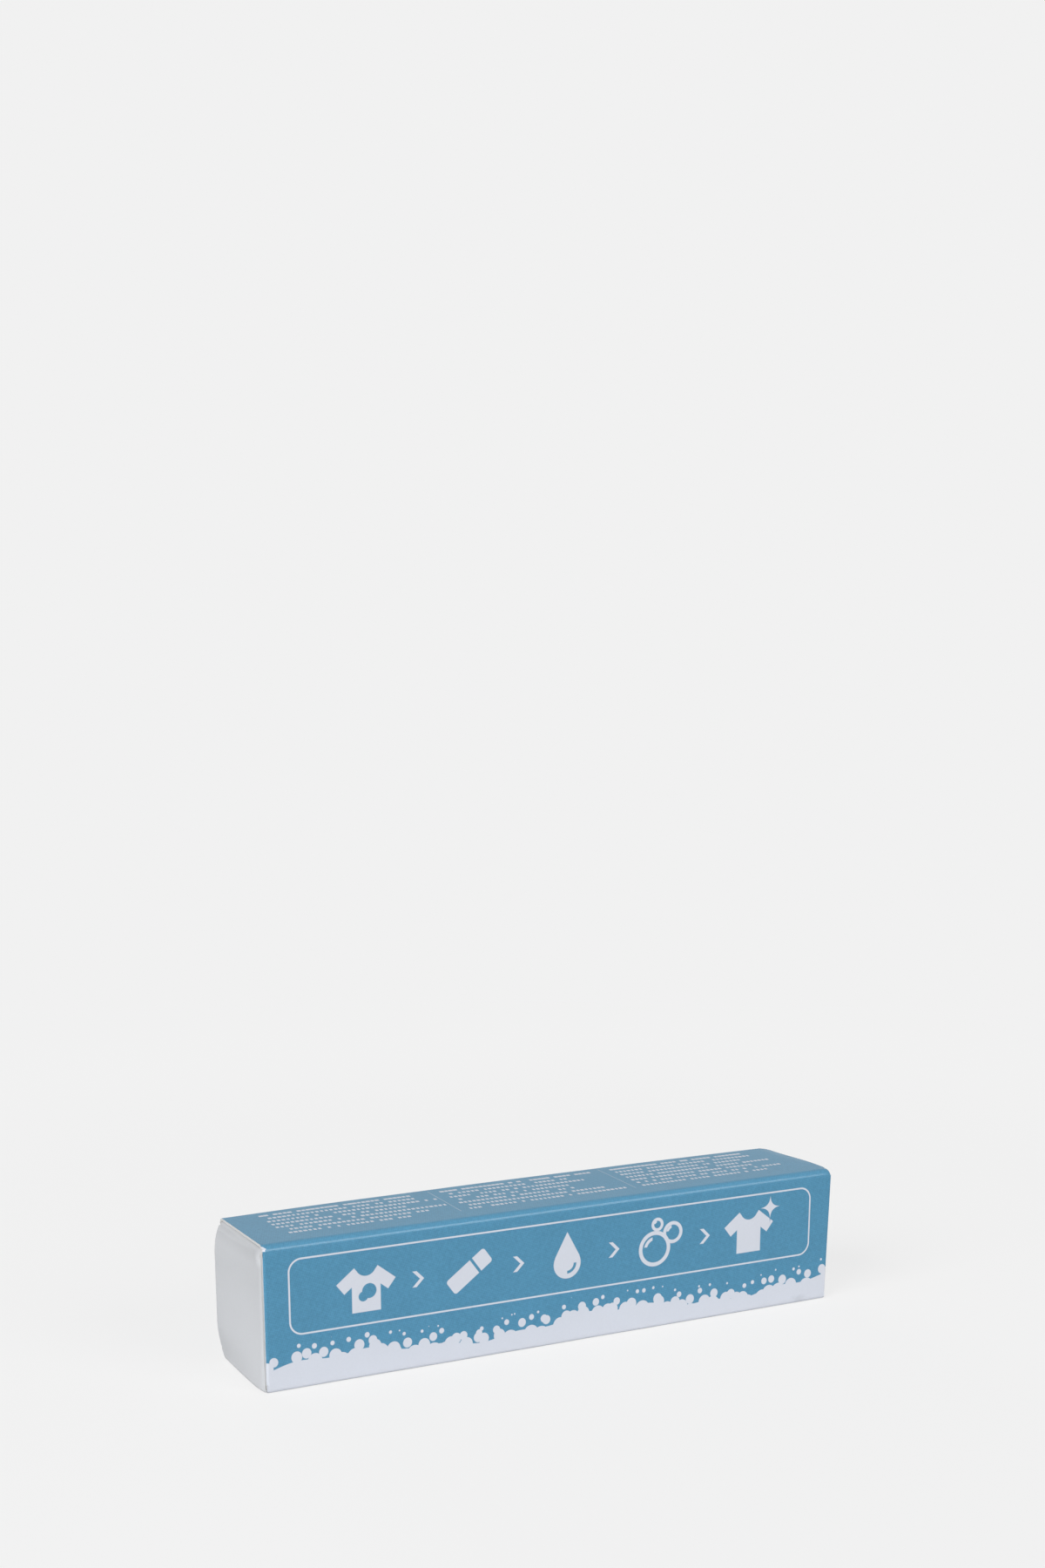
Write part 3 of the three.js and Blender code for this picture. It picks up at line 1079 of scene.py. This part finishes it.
def add_thickness(sheet, thickness):
    wall = sheet.modifiers.new("thickness", "SOLIDIFY")
    wall.thickness = thickness
    wall.offset = -1
    return wall


print("waves", waves.name, "cells", in_mm(waves.noise_scale))

# %% [markdown]
# A folded sheet becomes a board in one go: it is warped, gets its waves and its thickness, and wears
# three finishes, because Solidify can give the inside and the cut edge finishes of their own. At last
# each point's place is noted, while the carton is closed.

# %% Boards
board_ripple = 0.09 * mm
smooth_angle = math.radians(40)


def keep_places(sheet):
    """Notes on each point where it lies now, so that the print goes along when the board bends."""
    places = sheet.data.attributes.new(closed_place, "FLOAT_VECTOR", "POINT")
    for note, vertex in zip(places.data, sheet.data.vertices):
        note.vector = vertex.co


def thicken(sheet, outside, ripple=board_ripple):
    """Makes a folded sheet a board: warp, faint waves, thickness, and its three finishes."""
    warp(sheet)
    for finish in (outside, bare_inside, raw_edge):
        sheet.data.materials.append(finish)
    if ripple:
        add_waves(sheet, ripple)
    wall = add_thickness(sheet, board)
    wall.use_even_offset = True
    wall.material_offset = 1
    wall.material_offset_rim = 2
    apply_all(sheet)
    keep_places(sheet)
    bpy.ops.object.shade_smooth_by_angle(angle=smooth_angle)


print("board", in_mm(board), "ripple", in_mm(board_ripple))

# %% [markdown]
# The two upright panels, front and rear, carry the dust flaps at their ends. The dust flaps are
# narrower than the panel, so the long folds run on past them as far as the cut edge or the tuck flap's
# crease. Extruding the border in short steps does that. At the two corners where a tuck flap bends
# away, the edge is rounded, point by point, because a bevel would also cut the fold beside it.

# %% Ends of the upright panels
dust_fold = 0.5 * mm
dust_start = half_length - dust_fold
dust_foot, dust_head = fold_radius, height - fold_radius
square_run, square_steps = {-1: 0.5 * mm, 1: 0.3 * mm}, 3
round_full, round_ends = 1.2 * mm, 7 * mm


def square_ends(sheet):
    for level in (dust_foot, dust_head):
        bpy.ops.mesh.select_all(action="SELECT")
        bpy.ops.mesh.bisect(plane_co=(0, 0, level), plane_no=z_axis)
    tests = (lambda p: p.z < dust_foot, lambda p: p.z > dust_head)
    for side, run in square_run.items():
        for test in tests:
            pick_border(sheet, lambda p: near(p.x, side * dust_start) and test(p))
            for _ in range(square_steps):
                run_on((side * run / square_steps, 0, 0))


def round_hinge_corners(sheet, radii):
    """Rounds the lower left and the upper right corner, each with its own radius."""
    for vertex in sheet.data.vertices:
        p = vertex.co
        for side, radius in radii.items():
            up = p.z if side < 0 else height - p.z
            past = max(0, side * p.x - (dust_start + square_run[side] - radius))
            drop = radius - math.sqrt(max(0, radius**2 - past**2))
            p.z -= side * drop * (1 - soft_step(up, round_full, round_ends))


print("dust flaps reach from", in_mm(dust_foot), "to", in_mm(dust_head))

# %% [markdown]
# The front panel is the long printed face. It carries both of its long folds, so the print runs over
# them without a break. The sheet starts as the flat between the folds, and Spin rolls its upper and
# lower edge round. A short flat strip past each fold keeps the joint to the next panel off the fold.

# %% Front panel
strip = 0.25 * mm
lower_radius = 0.6 * mm
front_round = {-1: 0.45 * mm, 1: 0.8 * mm}


def front_panel():
    head = height - fold_radius
    flat = head - lower_radius
    sheet = board_sheet(
        "front_panel_board", size=(2 * dust_start, flat), grid=(160, 25),
        place=(0, -half_depth, lower_radius + flat / 2), turn=(math.pi / 2, 0, 0),
    )
    bpy.ops.object.mode_set(mode="EDIT")
    roll_edge(sheet, lambda p: near(p.z, head), (0, -half_depth + fold_radius, head), x_axis, 90)
    run_on((0, strip, 0))
    lower_centre = (0, -half_depth + lower_radius, lower_radius)
    roll_edge(sheet, lambda p: near(p.z, lower_radius), lower_centre, x_axis, -90)
    run_on((0, strip + fold_radius - lower_radius, 0))
    square_ends(sheet)
    finish_edit(sheet)
    round_hinge_corners(sheet, front_round)
    face_out(sheet, (0, -1, 0))
    return sheet


def settle(piece, body, node):
    """Hangs a finished piece on its body and takes the place of its plain solid."""
    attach(piece, body)
    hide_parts(node)
    print(piece.name, "faces", len(piece.data.polygons))


front = front_panel()
thicken(front, front_print)
settle(front, "carton", "front_panel")

# %% [markdown]
# The top panel is flat board between the two upper folds. On the left it ends in a cut edge, under
# which the tongue is tucked. On the right it stops short, where the right tuck flap's crease begins.
# Front, top and rear could be one sheet, but the part names each panel, so each has a grid of its own.

# %% Top panel
seam = half_depth - fold_radius - strip
tuck_seam = half_length - 1.75 * mm


def top_panel():
    sheet = board_sheet(
        "top_panel_board", size=(half_length + tuck_seam, 2 * seam), grid=(96, 18),
        place=((tuck_seam - half_length) / 2, 0, height), turn=(0, 0, 0),
    )
    face_out(sheet, z_axis)
    return sheet


top = top_panel()
thicken(top, top_print)
settle(top, "carton", "top_panel")

# %% [markdown]
# The rear panel is the last panel of the blank. It carries the upper rear fold, and its lower edge is
# a cut one that ends just above the table, outside the glue flap. It could be a mirrored front with its
# lower fold cut off, but it is as short to make it anew with one fold.

# %% Rear panel
raw_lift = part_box("rear_panel")[0].z
rear_round = {-1: 0.45 * mm, 1: 0.35 * mm}


def rear_panel():
    head = height - fold_radius
    flat = head - raw_lift
    sheet = board_sheet(
        "rear_panel_board", size=(2 * dust_start, flat), grid=(96, 24),
        place=(0, half_depth, raw_lift + flat / 2), turn=(-math.pi / 2, 0, 0),
    )
    bpy.ops.object.mode_set(mode="EDIT")
    roll_edge(sheet, lambda p: near(p.z, head), (0, half_depth - fold_radius, head), x_axis, -90)
    run_on((0, -strip, 0))
    square_ends(sheet)
    finish_edit(sheet)
    round_hinge_corners(sheet, rear_round)
    face_out(sheet, y_axis)
    return sheet


rear = rear_panel()
thicken(rear, rear_print)
settle(rear, "carton", "rear_panel")

# %% [markdown]
# The bottom panel is the face that the carton lies on. It is plain white board. It runs from the
# lower front fold to the fold of the glue flap, and on the left to the crease of the left tuck flap.
# It is made as the top is, a flat grid that only needs its waves and its thickness.

# %% Bottom panel
glue_low, glue_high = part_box("glue_flap")
glue_radius = glue_high.y - glue_low.y
glue_seam = glue_low.y - strip


def bottom_panel():
    sheet = board_sheet(
        "bottom_panel_board", size=(half_length + tuck_seam, seam + glue_seam), grid=(96, 18),
        place=((half_length - tuck_seam) / 2, (glue_seam - seam) / 2, 0), turn=(math.pi, 0, 0),
    )
    face_out(sheet, (0, 0, -1))
    return sheet


bottom = bottom_panel()
thicken(bottom, white_outside)
settle(bottom, "carton", "bottom_panel")

# %% [markdown]
# The glue flap is the narrow strip that is folded up from the bottom and glued inside the rear panel.
# Its ends slant, so that they don't get in the way of the dust flaps. Two cuts could make the slant,
# but squeezing each row of points a little more than the one below keeps the grid whole.

# %% Glue flap
glue_slant = 4 * mm


def glue_flap():
    flat = glue_high.z - glue_radius
    half = glue_high.x
    sheet = board_sheet(
        "glue_flap_board", size=(2 * half, flat), grid=(60, 8),
        place=(0, glue_high.y, glue_radius + flat / 2), turn=(-math.pi / 2, 0, 0),
    )
    bpy.ops.object.mode_set(mode="EDIT")
    roll_edge(sheet, lambda p: near(p.z, glue_radius), (0, glue_low.y, glue_radius), x_axis, 90)
    run_on((0, -strip, 0))
    finish_edit(sheet)
    for vertex in sheet.data.vertices:
        rise = max(0, vertex.co.z - glue_radius) / flat
        vertex.co.x *= 1 - glue_slant / half * rise
    face_out(sheet, y_axis)
    return sheet


glue = glue_flap()
thicken(glue, white_outside, ripple=0)
settle(glue, "carton", "glue_flap")

# %% [markdown]
# Closed ends are never flat. The spring of the board bows a tuck flap out, and its tip rolls in over
# the tongue's fold. The left end shows that plainly. The right one is calmer, and it is made at the left
# too and turned over later. So each end is a short list of sizes, and both use the same formulas.

# %% Sizes of the closed ends
flap_face = half_length + 0.5 * mm
left_end = {
    "half": half_depth - 0.15 * mm, "radius": 0.9 * mm, "flare": 0.3 * mm, "rear_flare": 3.5 * mm,
    "bulge": 0.95 * mm, "belly": 0.5 * mm, "tip_in": 0.38 * mm, "rear_taper": 0.45 * mm, "corner": 0.0,
}
right_end = {
    "half": half_depth - 1.0 * mm, "radius": 1.2 * mm, "flare": fold_radius, "rear_flare": fold_radius,
    "bulge": 0.25 * mm, "belly": 0.0, "tip_in": 0.0, "rear_taper": 0.0, "corner": 0.45 * mm,
}
print("left end bows out", in_mm(left_end["bulge"]), "right end", in_mm(right_end["bulge"]))

# %% [markdown]
# The bow is the most towards the rear. The flap's foot has a belly near the front, and the cutting rule
# has pressed its side edges in. Proportional editing could push such forms by hand, but a formula for
# the points is better here: tongue and flap have to follow the same one, or a gap would open between
# them.

# %% Bow of the ends
bow_full = flap_face - 0.3 * mm
bulge_foot, bulge_full = -0.5 * mm, 7.5 * mm
bulge_fades, bulge_gone = 20.0 * mm, 25.75 * mm
lean_from, lean_full = -1.3, 0.9
belly_fades, belly_gone, belly_rear = 3.0 * mm, 12.0 * mm, 1.5
edge_press, edge_width = 0.2 * mm, 0.55 * mm
press_from, press_full, press_fades, press_gone = 0.1 * mm, 0.6 * mm, 24.6 * mm, 25.5 * mm
corner_start, corner_fades, corner_gone, corner_width = half_length - mm, mm, 4 * mm, 1.5 * mm
taper_foot = 23.0 * mm


def bulge_at(p, end):
    """How far the end bows out at a point, less what its tip rolls in."""
    past = min(1, max(0, (p.z - bulge_fades) / (bulge_gone - bulge_fades)))
    roll_in = 1 - math.sqrt(1 - past**2)
    bulge = end["bulge"] * soft_step(p.z, bulge_foot, bulge_full)
    bulge -= (end["bulge"] + end["tip_in"]) * roll_in
    return bulge * soft_step(p.y, lean_from * end["half"], lean_full * end["half"])


def belly_at(p, end):
    half = end["half"]
    belly = (1 - (p.y / half) ** 4) * (1 - soft_step(p.y, -half, belly_rear * half))
    return end["belly"] * belly * (1 - soft_step(p.z, belly_fades, belly_gone))


def press_at(p, end):
    level = soft_step(p.z, press_from, press_full) * (1 - soft_step(p.z, press_fades, press_gone))
    return edge_press * level * (1 - soft_step(end["half"] - abs(p.y), 0, edge_width))


def corner_at(p, end):
    """How far the front corner beside the crease is lifted."""
    corner = soft_step(-p.x, corner_start, flap_face) * (1 - soft_step(p.z, corner_fades, corner_gone))
    return end["corner"] * corner * (1 - soft_step(p.y + seam, 0, corner_width))


def bow_out(piece, end):
    for vertex in piece.data.vertices:
        p = vertex.co
        clear = soft_step(-p.x, tuck_seam, bow_full)
        out = clear * (bulge_at(p, end) + belly_at(p, end)) - press_at(p, end)
        taper = soft_step(p.z, taper_foot, bulge_gone) * soft_step(p.y, 0, end["half"])
        p.z += corner_at(p, end)
        p.x -= out
        p.y -= end["rear_taper"] * taper


print("bow is whole from", in_mm(bulge_full), "to", in_mm(bulge_fades), "above the table")

# %% [markdown]
# A tuck flap closes each end. It bends away from its panel in a soft crease, where it is as narrow as
# the panel, and widens just above. A Simple Deform modifier could bend a flat sheet there, but Spin
# puts the arc just where the crease is. Both flaps are modelled at the left end. The right one is then
# turned over by half a turn, because it hangs from the top where the left one stands on the bottom.

# %% Tuck flaps
tongue_radius = 0.9 * mm
tongue_top = height - board - 0.08 * mm
tongue_root = 0.6 * mm
flap_head = tongue_top - tongue_radius
flare_from = 0.1 * mm
crease_steps = 8


def tuck_flap(name, end):
    half, radius = end["half"], end["radius"]
    flat = flap_head - tongue_root - radius
    sheet = board_sheet(
        name, size=(flat, 2 * half), grid=(24, 44),
        place=(-flap_face, 0, radius + flat / 2), turn=(0, -math.pi / 2, 0),
    )
    bpy.ops.object.mode_set(mode="EDIT")
    centre = (radius - flap_face, 0, radius)
    roll_edge(sheet, lambda p: near(p.z, radius), centre, y_axis, 90, crease_steps)
    run_on((flap_face - radius - tuck_seam, 0, 0))
    finish_edit(sheet)
    for vertex in sheet.data.vertices:
        flare_ends = end["flare"] if vertex.co.y < 0 else end["rear_flare"]
        flare = soft_step(vertex.co.z, flare_from, flare_ends)
        vertex.co.y *= seam / half + (1 - seam / half) * flare
    bow_out(sheet, end)
    face_out(sheet, (-1, 0, 0))
    return sheet


def turn_over(piece):
    """Carries a piece from the left end to the right one, half a turn about the carton's depth."""
    select_only(piece)
    bpy.ops.transform.rotate(value=math.pi, orient_axis="Y", center_override=middle)
    bpy.ops.object.transform_apply(location=True, rotation=True, scale=True)


left_tuck = tuck_flap("left_tuck_flap_board", left_end)
right_tuck = tuck_flap("right_tuck_flap_board", right_end)
turn_over(right_tuck)
for piece in (left_tuck, right_tuck):
    thicken(piece, end_print_and_painted_light)
    print(piece.name, "size", in_mm(*piece.dimensions))

# %% [markdown]
# The tongue is the flap's tip, folded over and pushed in under the opposite panel. Its corners are cut
# round so that it finds its way in. It could be modelled with its flap, but it turns on its own fold,
# so it is its own piece. Spin makes the fold, and short runs of the edge make the tongue, so that there
# are enough points to round the corners.

# %% Tongues
tongue_length = 7.6 * mm
tongue_corner = 5 * mm
tongue_inset = 0.9 * mm
inset_from, inset_full = -0.3 * mm, 0.9 * mm
tongue_slope = math.radians(6)
tongue_steps = 12


def tuck_tongue(name, end):
    half = end["half"]
    sheet = board_sheet(
        name, size=(tongue_root, 2 * half), grid=(1, 44),
        place=(-flap_face, 0, flap_head - tongue_root / 2), turn=(0, -math.pi / 2, 0),
    )
    bpy.ops.object.mode_set(mode="EDIT")
    centre = (tongue_radius - flap_face, 0, flap_head)
    degrees = -90 - math.degrees(tongue_slope)
    roll_edge(sheet, lambda p: near(p.z, flap_head), centre, y_axis, degrees, crease_steps)
    run = tongue_length / tongue_steps
    for _ in range(tongue_steps):
        run_on((run * math.cos(tongue_slope), 0, -run * math.sin(tongue_slope)))
    finish_edit(sheet)
    for vertex in sheet.data.vertices:
        out = vertex.co.x - (tongue_radius - flap_face)
        width = half - tongue_inset * soft_step(out, inset_from, inset_full)
        past = max(0, out - (tongue_length - tongue_corner))
        width -= tongue_corner - math.sqrt(max(0, tongue_corner**2 - past**2))
        vertex.co.y *= width / half
    bow_out(sheet, end)
    face_out(sheet, (-1, 0, 1))
    return sheet


left_tongue = tuck_tongue("left_tuck_tongue_board", left_end)
right_tongue = tuck_tongue("right_tuck_tongue_board", right_end)
turn_over(right_tongue)
for piece in (left_tongue, right_tongue):
    thicken(piece, end_print_and_painted_light)
    print(piece.name, "size", in_mm(*piece.dimensions))

# %% [markdown]
# Four dust flaps lie behind the tuck flaps, two at each end. They keep dust out and give the tuck flap
# something to lie on. One is modelled here: a sheet with its fold, cut at a slant with Bisect, and its
# free corner rounded by a few more cuts. A boolean could cut it too, but Bisect leaves cleaner edges.

# %% First dust flap
dust_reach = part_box("left_front_dust_flap")[1].y
dust_taper = math.radians(41)
dust_shoulder = 0.9 * mm
dust_corner = 3 * mm
corner_cut = 15


def cut_off(point, normal):
    """Cuts away what lies beyond a plane."""
    bpy.ops.mesh.select_all(action="SELECT")
    bpy.ops.mesh.bisect(plane_co=point, plane_no=normal, clear_outer=True)


def dust_flap():
    root = half_depth - dust_fold
    sheet = board_sheet(
        "left_front_dust_flap_board", size=(dust_head - dust_foot, root + dust_reach), grid=(22, 10),
        place=(-half_length, (dust_reach - root) / 2, (dust_foot + dust_head) / 2),
        turn=(0, -math.pi / 2, 0),
    )
    bpy.ops.object.mode_set(mode="EDIT")
    roll_edge(sheet, lambda p: near(p.y, -root), (dust_fold - half_length, -root, 0), z_axis, -90)
    cut_off((0, dust_shoulder - root, dust_foot), (0, math.sin(dust_taper), -math.cos(dust_taper)))
    centre = Vector((0, dust_reach - dust_corner, dust_head - dust_corner))
    for degrees in range(corner_cut, 90, corner_cut):
        away = Vector((0, math.cos(math.radians(degrees)), math.sin(math.radians(degrees))))
        cut_off(centre + dust_corner * away, away)
    finish_edit(sheet)
    face_out(sheet, (-1, 0, 0))
    return sheet


left_front_dust = dust_flap()
print(left_front_dust.name, "points", len(left_front_dust.data.vertices))

# %% [markdown]
# What repeats is made once. The other dust flaps are copies of the first, each with its own mesh,
# mirrored to the rear or turned over to the right end. A mirror turns the faces inwards, so that copy
# is flipped again. Copies come before the thickness, because the warp differs from corner to corner.

# %% Other dust flaps
def copy_sheet(sheet, name, mirrored=False):
    """A copy with its own mesh, mirrored to the rear if asked."""
    select_only(sheet)
    bpy.ops.object.duplicate(linked=False)
    twin = bpy.context.object
    twin.name = twin.data.name = name
    if mirrored:
        twin.scale = (1, -1, 1)
        bpy.ops.object.transform_apply(location=True, rotation=True, scale=True)
        face_out(twin, (-1, 0, 0))
    return twin


left_rear_dust = copy_sheet(left_front_dust, "left_rear_dust_flap_board", mirrored=True)
right_front_dust = copy_sheet(left_front_dust, "right_front_dust_flap_board")
right_rear_dust = copy_sheet(left_rear_dust, "right_rear_dust_flap_board")
turn_over(right_front_dust)
turn_over(right_rear_dust)
for piece in (left_front_dust, left_rear_dust, right_front_dust, right_rear_dust):
    thicken(piece, dust_print)
    print(piece.name, "size", in_mm(*piece.dimensions))

# %% [markdown]
# A crease is board that bends, so a flap isn't hung like a door. It could ride on its body as a stiff
# piece, but then the board would tear open at the crease. Here each tuck flap, tongue and dust flap
# only has its placement baked into its points, and the plain solid of its part is hidden.

# %% Flaps in place
crease_ends = 2.2 * mm
flaps = {
    "left": (left_tuck, left_tongue, left_front_dust, left_rear_dust, left_end["radius"]),
    "right": (right_tuck, right_tongue, right_front_dust, right_rear_dust, right_end["radius"]),
}


def at_end(side, x, y, z):
    """A point of the left end, carried to the right one if that is the side."""
    return (x, y, z) if side == "left" else (-x, y, height - z)


def hang(piece, side, second, start, end):
    at_end(side, *start)
    at_end(side, *end)
    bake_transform(piece)
    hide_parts(piece.name.removesuffix("_board"))
    print(piece.name, "faces", len(piece.data.polygons))


for side, (tuck, tongue, front_dust, rear_dust, radius) in flaps.items():
    flap = side + "_flap"
    hang(tuck, side, flap, (radius - flap_face, 0, 0), (-flap_face, 0, crease_ends))
    hang(
        tongue, side, side + "_tongue",
        (-flap_face, 0, flap_head), (tongue_radius - flap_face, 0, tongue_top),
    )
    for dust, turn in ((front_dust, -1), (rear_dust, 1)):
        body = dust.name.removesuffix("_flap_board")
        root = (dust_fold - half_length, turn * half_depth, height / 2)
        tip = (-half_length, turn * (half_depth - dust_fold), height / 2)
        hang(dust, side, body, root, tip)

# %% [markdown]
# Cold glue holds the seam: a thin film between the glue flap and the rear panel, pressed flat and a
# little uneven along its edges. It dries to a clear amber. A strip with wandering edges and a Solidify
# modifier is enough, because it is seen only where the carton is open.

# %% Glue line
glue_dark, glue_pale = (0.66, 0.57, 0.38, 1), (0.80, 0.74, 0.58, 1)
glue_rough, glue_spread = 0.28, 0.25
long_wander, long_turns, short_wander, short_turns = 0.3, 420, 0.2, 1130
side_wander, end_wander, end_turns = 0.14, 0.012, 900


def dried_glue(name):
    material, tree, shader = new_finish(name)
    position = object_position(tree)
    cloud = noise(tree, position, scale=260.0, detail=3.0)
    plug(tree, mix_colour(tree, cloud, glue_dark, glue_pale), shader.inputs["Base Color"])
    plug(tree, cloud * glue_spread + glue_rough, shader.inputs["Roughness"])
    add_bump(tree, shader, noise(tree, position, scale=1400.0), strength=0.3, distance=0.02 * mm)
    return material, tree


def glue_line():
    low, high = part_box("glue_line")
    size, centre = high - low, (low + high) / 2
    sheet = board_sheet(
        "glue_line_film", size=(size.x, size.z), grid=(80, 10),
        place=(centre.x, high.y, centre.z), turn=(-math.pi / 2, 0, 0),
    )
    for vertex in sheet.data.vertices:
        p = vertex.co
        wander = 0.5 + long_wander * math.sin(long_turns * p.x)
        wander += short_wander * math.sin(short_turns * p.x + 1)
        p.z = centre.z + (p.z - centre.z) * (1 - side_wander * wander)
        p.x *= 1 - end_wander * (0.5 + 0.5 * math.sin(end_turns * p.z))
    face_out(sheet, y_axis)
    sheet.data.materials.append(listed(dried_glue("dried_glue")))
    add_thickness(sheet, size.y)
    apply_all(sheet)
    return sheet


settle(glue_line(), "carton", "glue_line")

# %% [markdown]
# Soap is waxy: light goes into it a little way, so its shader has some subsurface scattering. A coat
# would make it look wet, so its soft gloss is only a roughness that varies with the wax. It has faint
# marbling along the bar, small specks, and marks of the wire on its cut ends, where it was sliced off a
# longer bar.

# %% Soap finish
soap_length = 116.6 * mm
soap_dark, soap_pale, soap_speck = (0.80, 0.74, 0.58, 1), (0.85, 0.81, 0.69, 1), (0.62, 0.55, 0.40, 1)
marble_along, marble_across, marble_from, marble_full = 0.02, 0.09, 0.35, 0.70
speck_from, speck_full, speck_share = 0.70, 0.76, 0.35
wire_turns, wire_wander, wire_starts, wire_full = 7.5, 3.0, 2.2, 1.6
wire_height, wax_height, pore_height = 0.25, 0.6, 0.15
wax_rough, wax_spread = 0.34, 0.22


def pressed_soap(name):
    material, tree, shader = new_finish(name)
    position = object_position(tree)
    x, y, z = coordinates(tree, position)
    stretched = combine(tree, x * marble_along, y * marble_across, z * marble_across)
    marble = noise(tree, stretched, scale=1.0, detail=4.0, roughness=0.6)
    marble = marble.step_from(marble_from, marble_full)
    specks = noise(tree, position, scale=2600.0, roughness=0.6)
    specks = specks.step_from(speck_from, speck_full) * speck_share
    cream = mix_colour(tree, marble, soap_dark, soap_pale)
    plug(tree, mix_colour(tree, specks, cream, soap_speck), shader.inputs["Base Color"])
    wax = noise(tree, position, scale=300.0, detail=3.0)
    plug(tree, wax * wax_spread + wax_rough, shader.inputs["Roughness"])
    shader.inputs["Subsurface Weight"].default_value = 0.2
    shader.inputs["Subsurface Radius"].default_value = (2.0 * mm, 1.5 * mm, 1.0 * mm)
    shader.inputs["Subsurface Scale"].default_value = 1.0
    half = soap_length / mm / 2
    wires = (y * wire_turns + wax * wire_wander).sine()
    wires = wires * abs(x).step_from(half - wire_starts, half - wire_full)
    pores = noise(tree, position, scale=1900.0)
    relief = wires * wire_height + wax * wax_height + pores * pore_height
    add_bump(tree, shader, relief, strength=0.5, distance=0.08 * mm)
    return material, tree


soap_wax = listed(pressed_soap("pressed_soap"))

# %% [markdown]
# The stick is a bare bar of pressed stain soap: a block with rounded long edges and softer ends. It
# could be a profile extruded along its length, but a cube is quicker: it is cut into rings, for the
# faint swell of a pressed bar, and its edges are bevelled, first the long ones and then those round the
# ends. It lies a little askew in the carton.

# %% Soap stick
soap_lean = math.radians(0.84)
soap_long_round, soap_end_round = 2.6 * mm, 1.8 * mm
soap_rings = 46
soap_swell = 0.12 * mm


def lies_along(edge, least):
    """Whether an edge runs further along the bar than the least given."""
    return abs(edge.verts[0].co.x - edge.verts[1].co.x) > least


def soap_stick():
    low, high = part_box("soap_stick")
    tall = (high.z - low.z - soap_length * math.sin(soap_lean)) / math.cos(soap_lean)
    half = Vector((soap_length, high.y - low.y, tall)) / 2
    corner = half.y + half.z - 0.01 * mm

    def on_long_corner(edge):
        place = edge.verts[0].co
        return lies_along(edge, mm) and abs(place.y) + abs(place.z) > corner

    def on_end(edge):
        return near(abs(edge.verts[0].co.x), half.x) and not lies_along(edge, 0.01 * mm)

    bpy.ops.object.select_all(action="DESELECT")
    bpy.ops.mesh.primitive_cube_add(size=2)
    bar = bpy.context.object
    bar.name = bar.data.name = "soap_stick_bar"
    bar.scale = half
    bpy.ops.object.transform_apply(location=True, rotation=True, scale=True)
    bpy.ops.object.mode_set(mode="EDIT")
    pick_edges(bar, lambda edge: lies_along(edge, half.x))
    bpy.ops.mesh.subdivide(number_cuts=soap_rings)
    pick_edges(bar, on_long_corner)
    bpy.ops.mesh.bevel(offset=soap_long_round, segments=7, affect="EDGES")
    pick_edges(bar, on_end)
    bpy.ops.mesh.bevel(offset=soap_end_round, segments=5, affect="EDGES")
    finish_edit(bar)
    bpy.ops.transform.rotate(value=soap_lean, orient_axis="Y", center_override=(0, 0, 0))
    bpy.ops.transform.translate(value=(low + high) / 2)
    bpy.ops.object.transform_apply(location=True, rotation=True, scale=True)
    bar.data.materials.append(soap_wax)
    add_waves(bar, soap_swell)
    apply_all(bar)
    bpy.ops.object.shade_smooth_by_angle(angle=smooth_angle)
    print("soap", in_mm(*bar.dimensions))
    return bar


settle(soap_stick(), "soap", "soap_stick")

# %% [markdown]
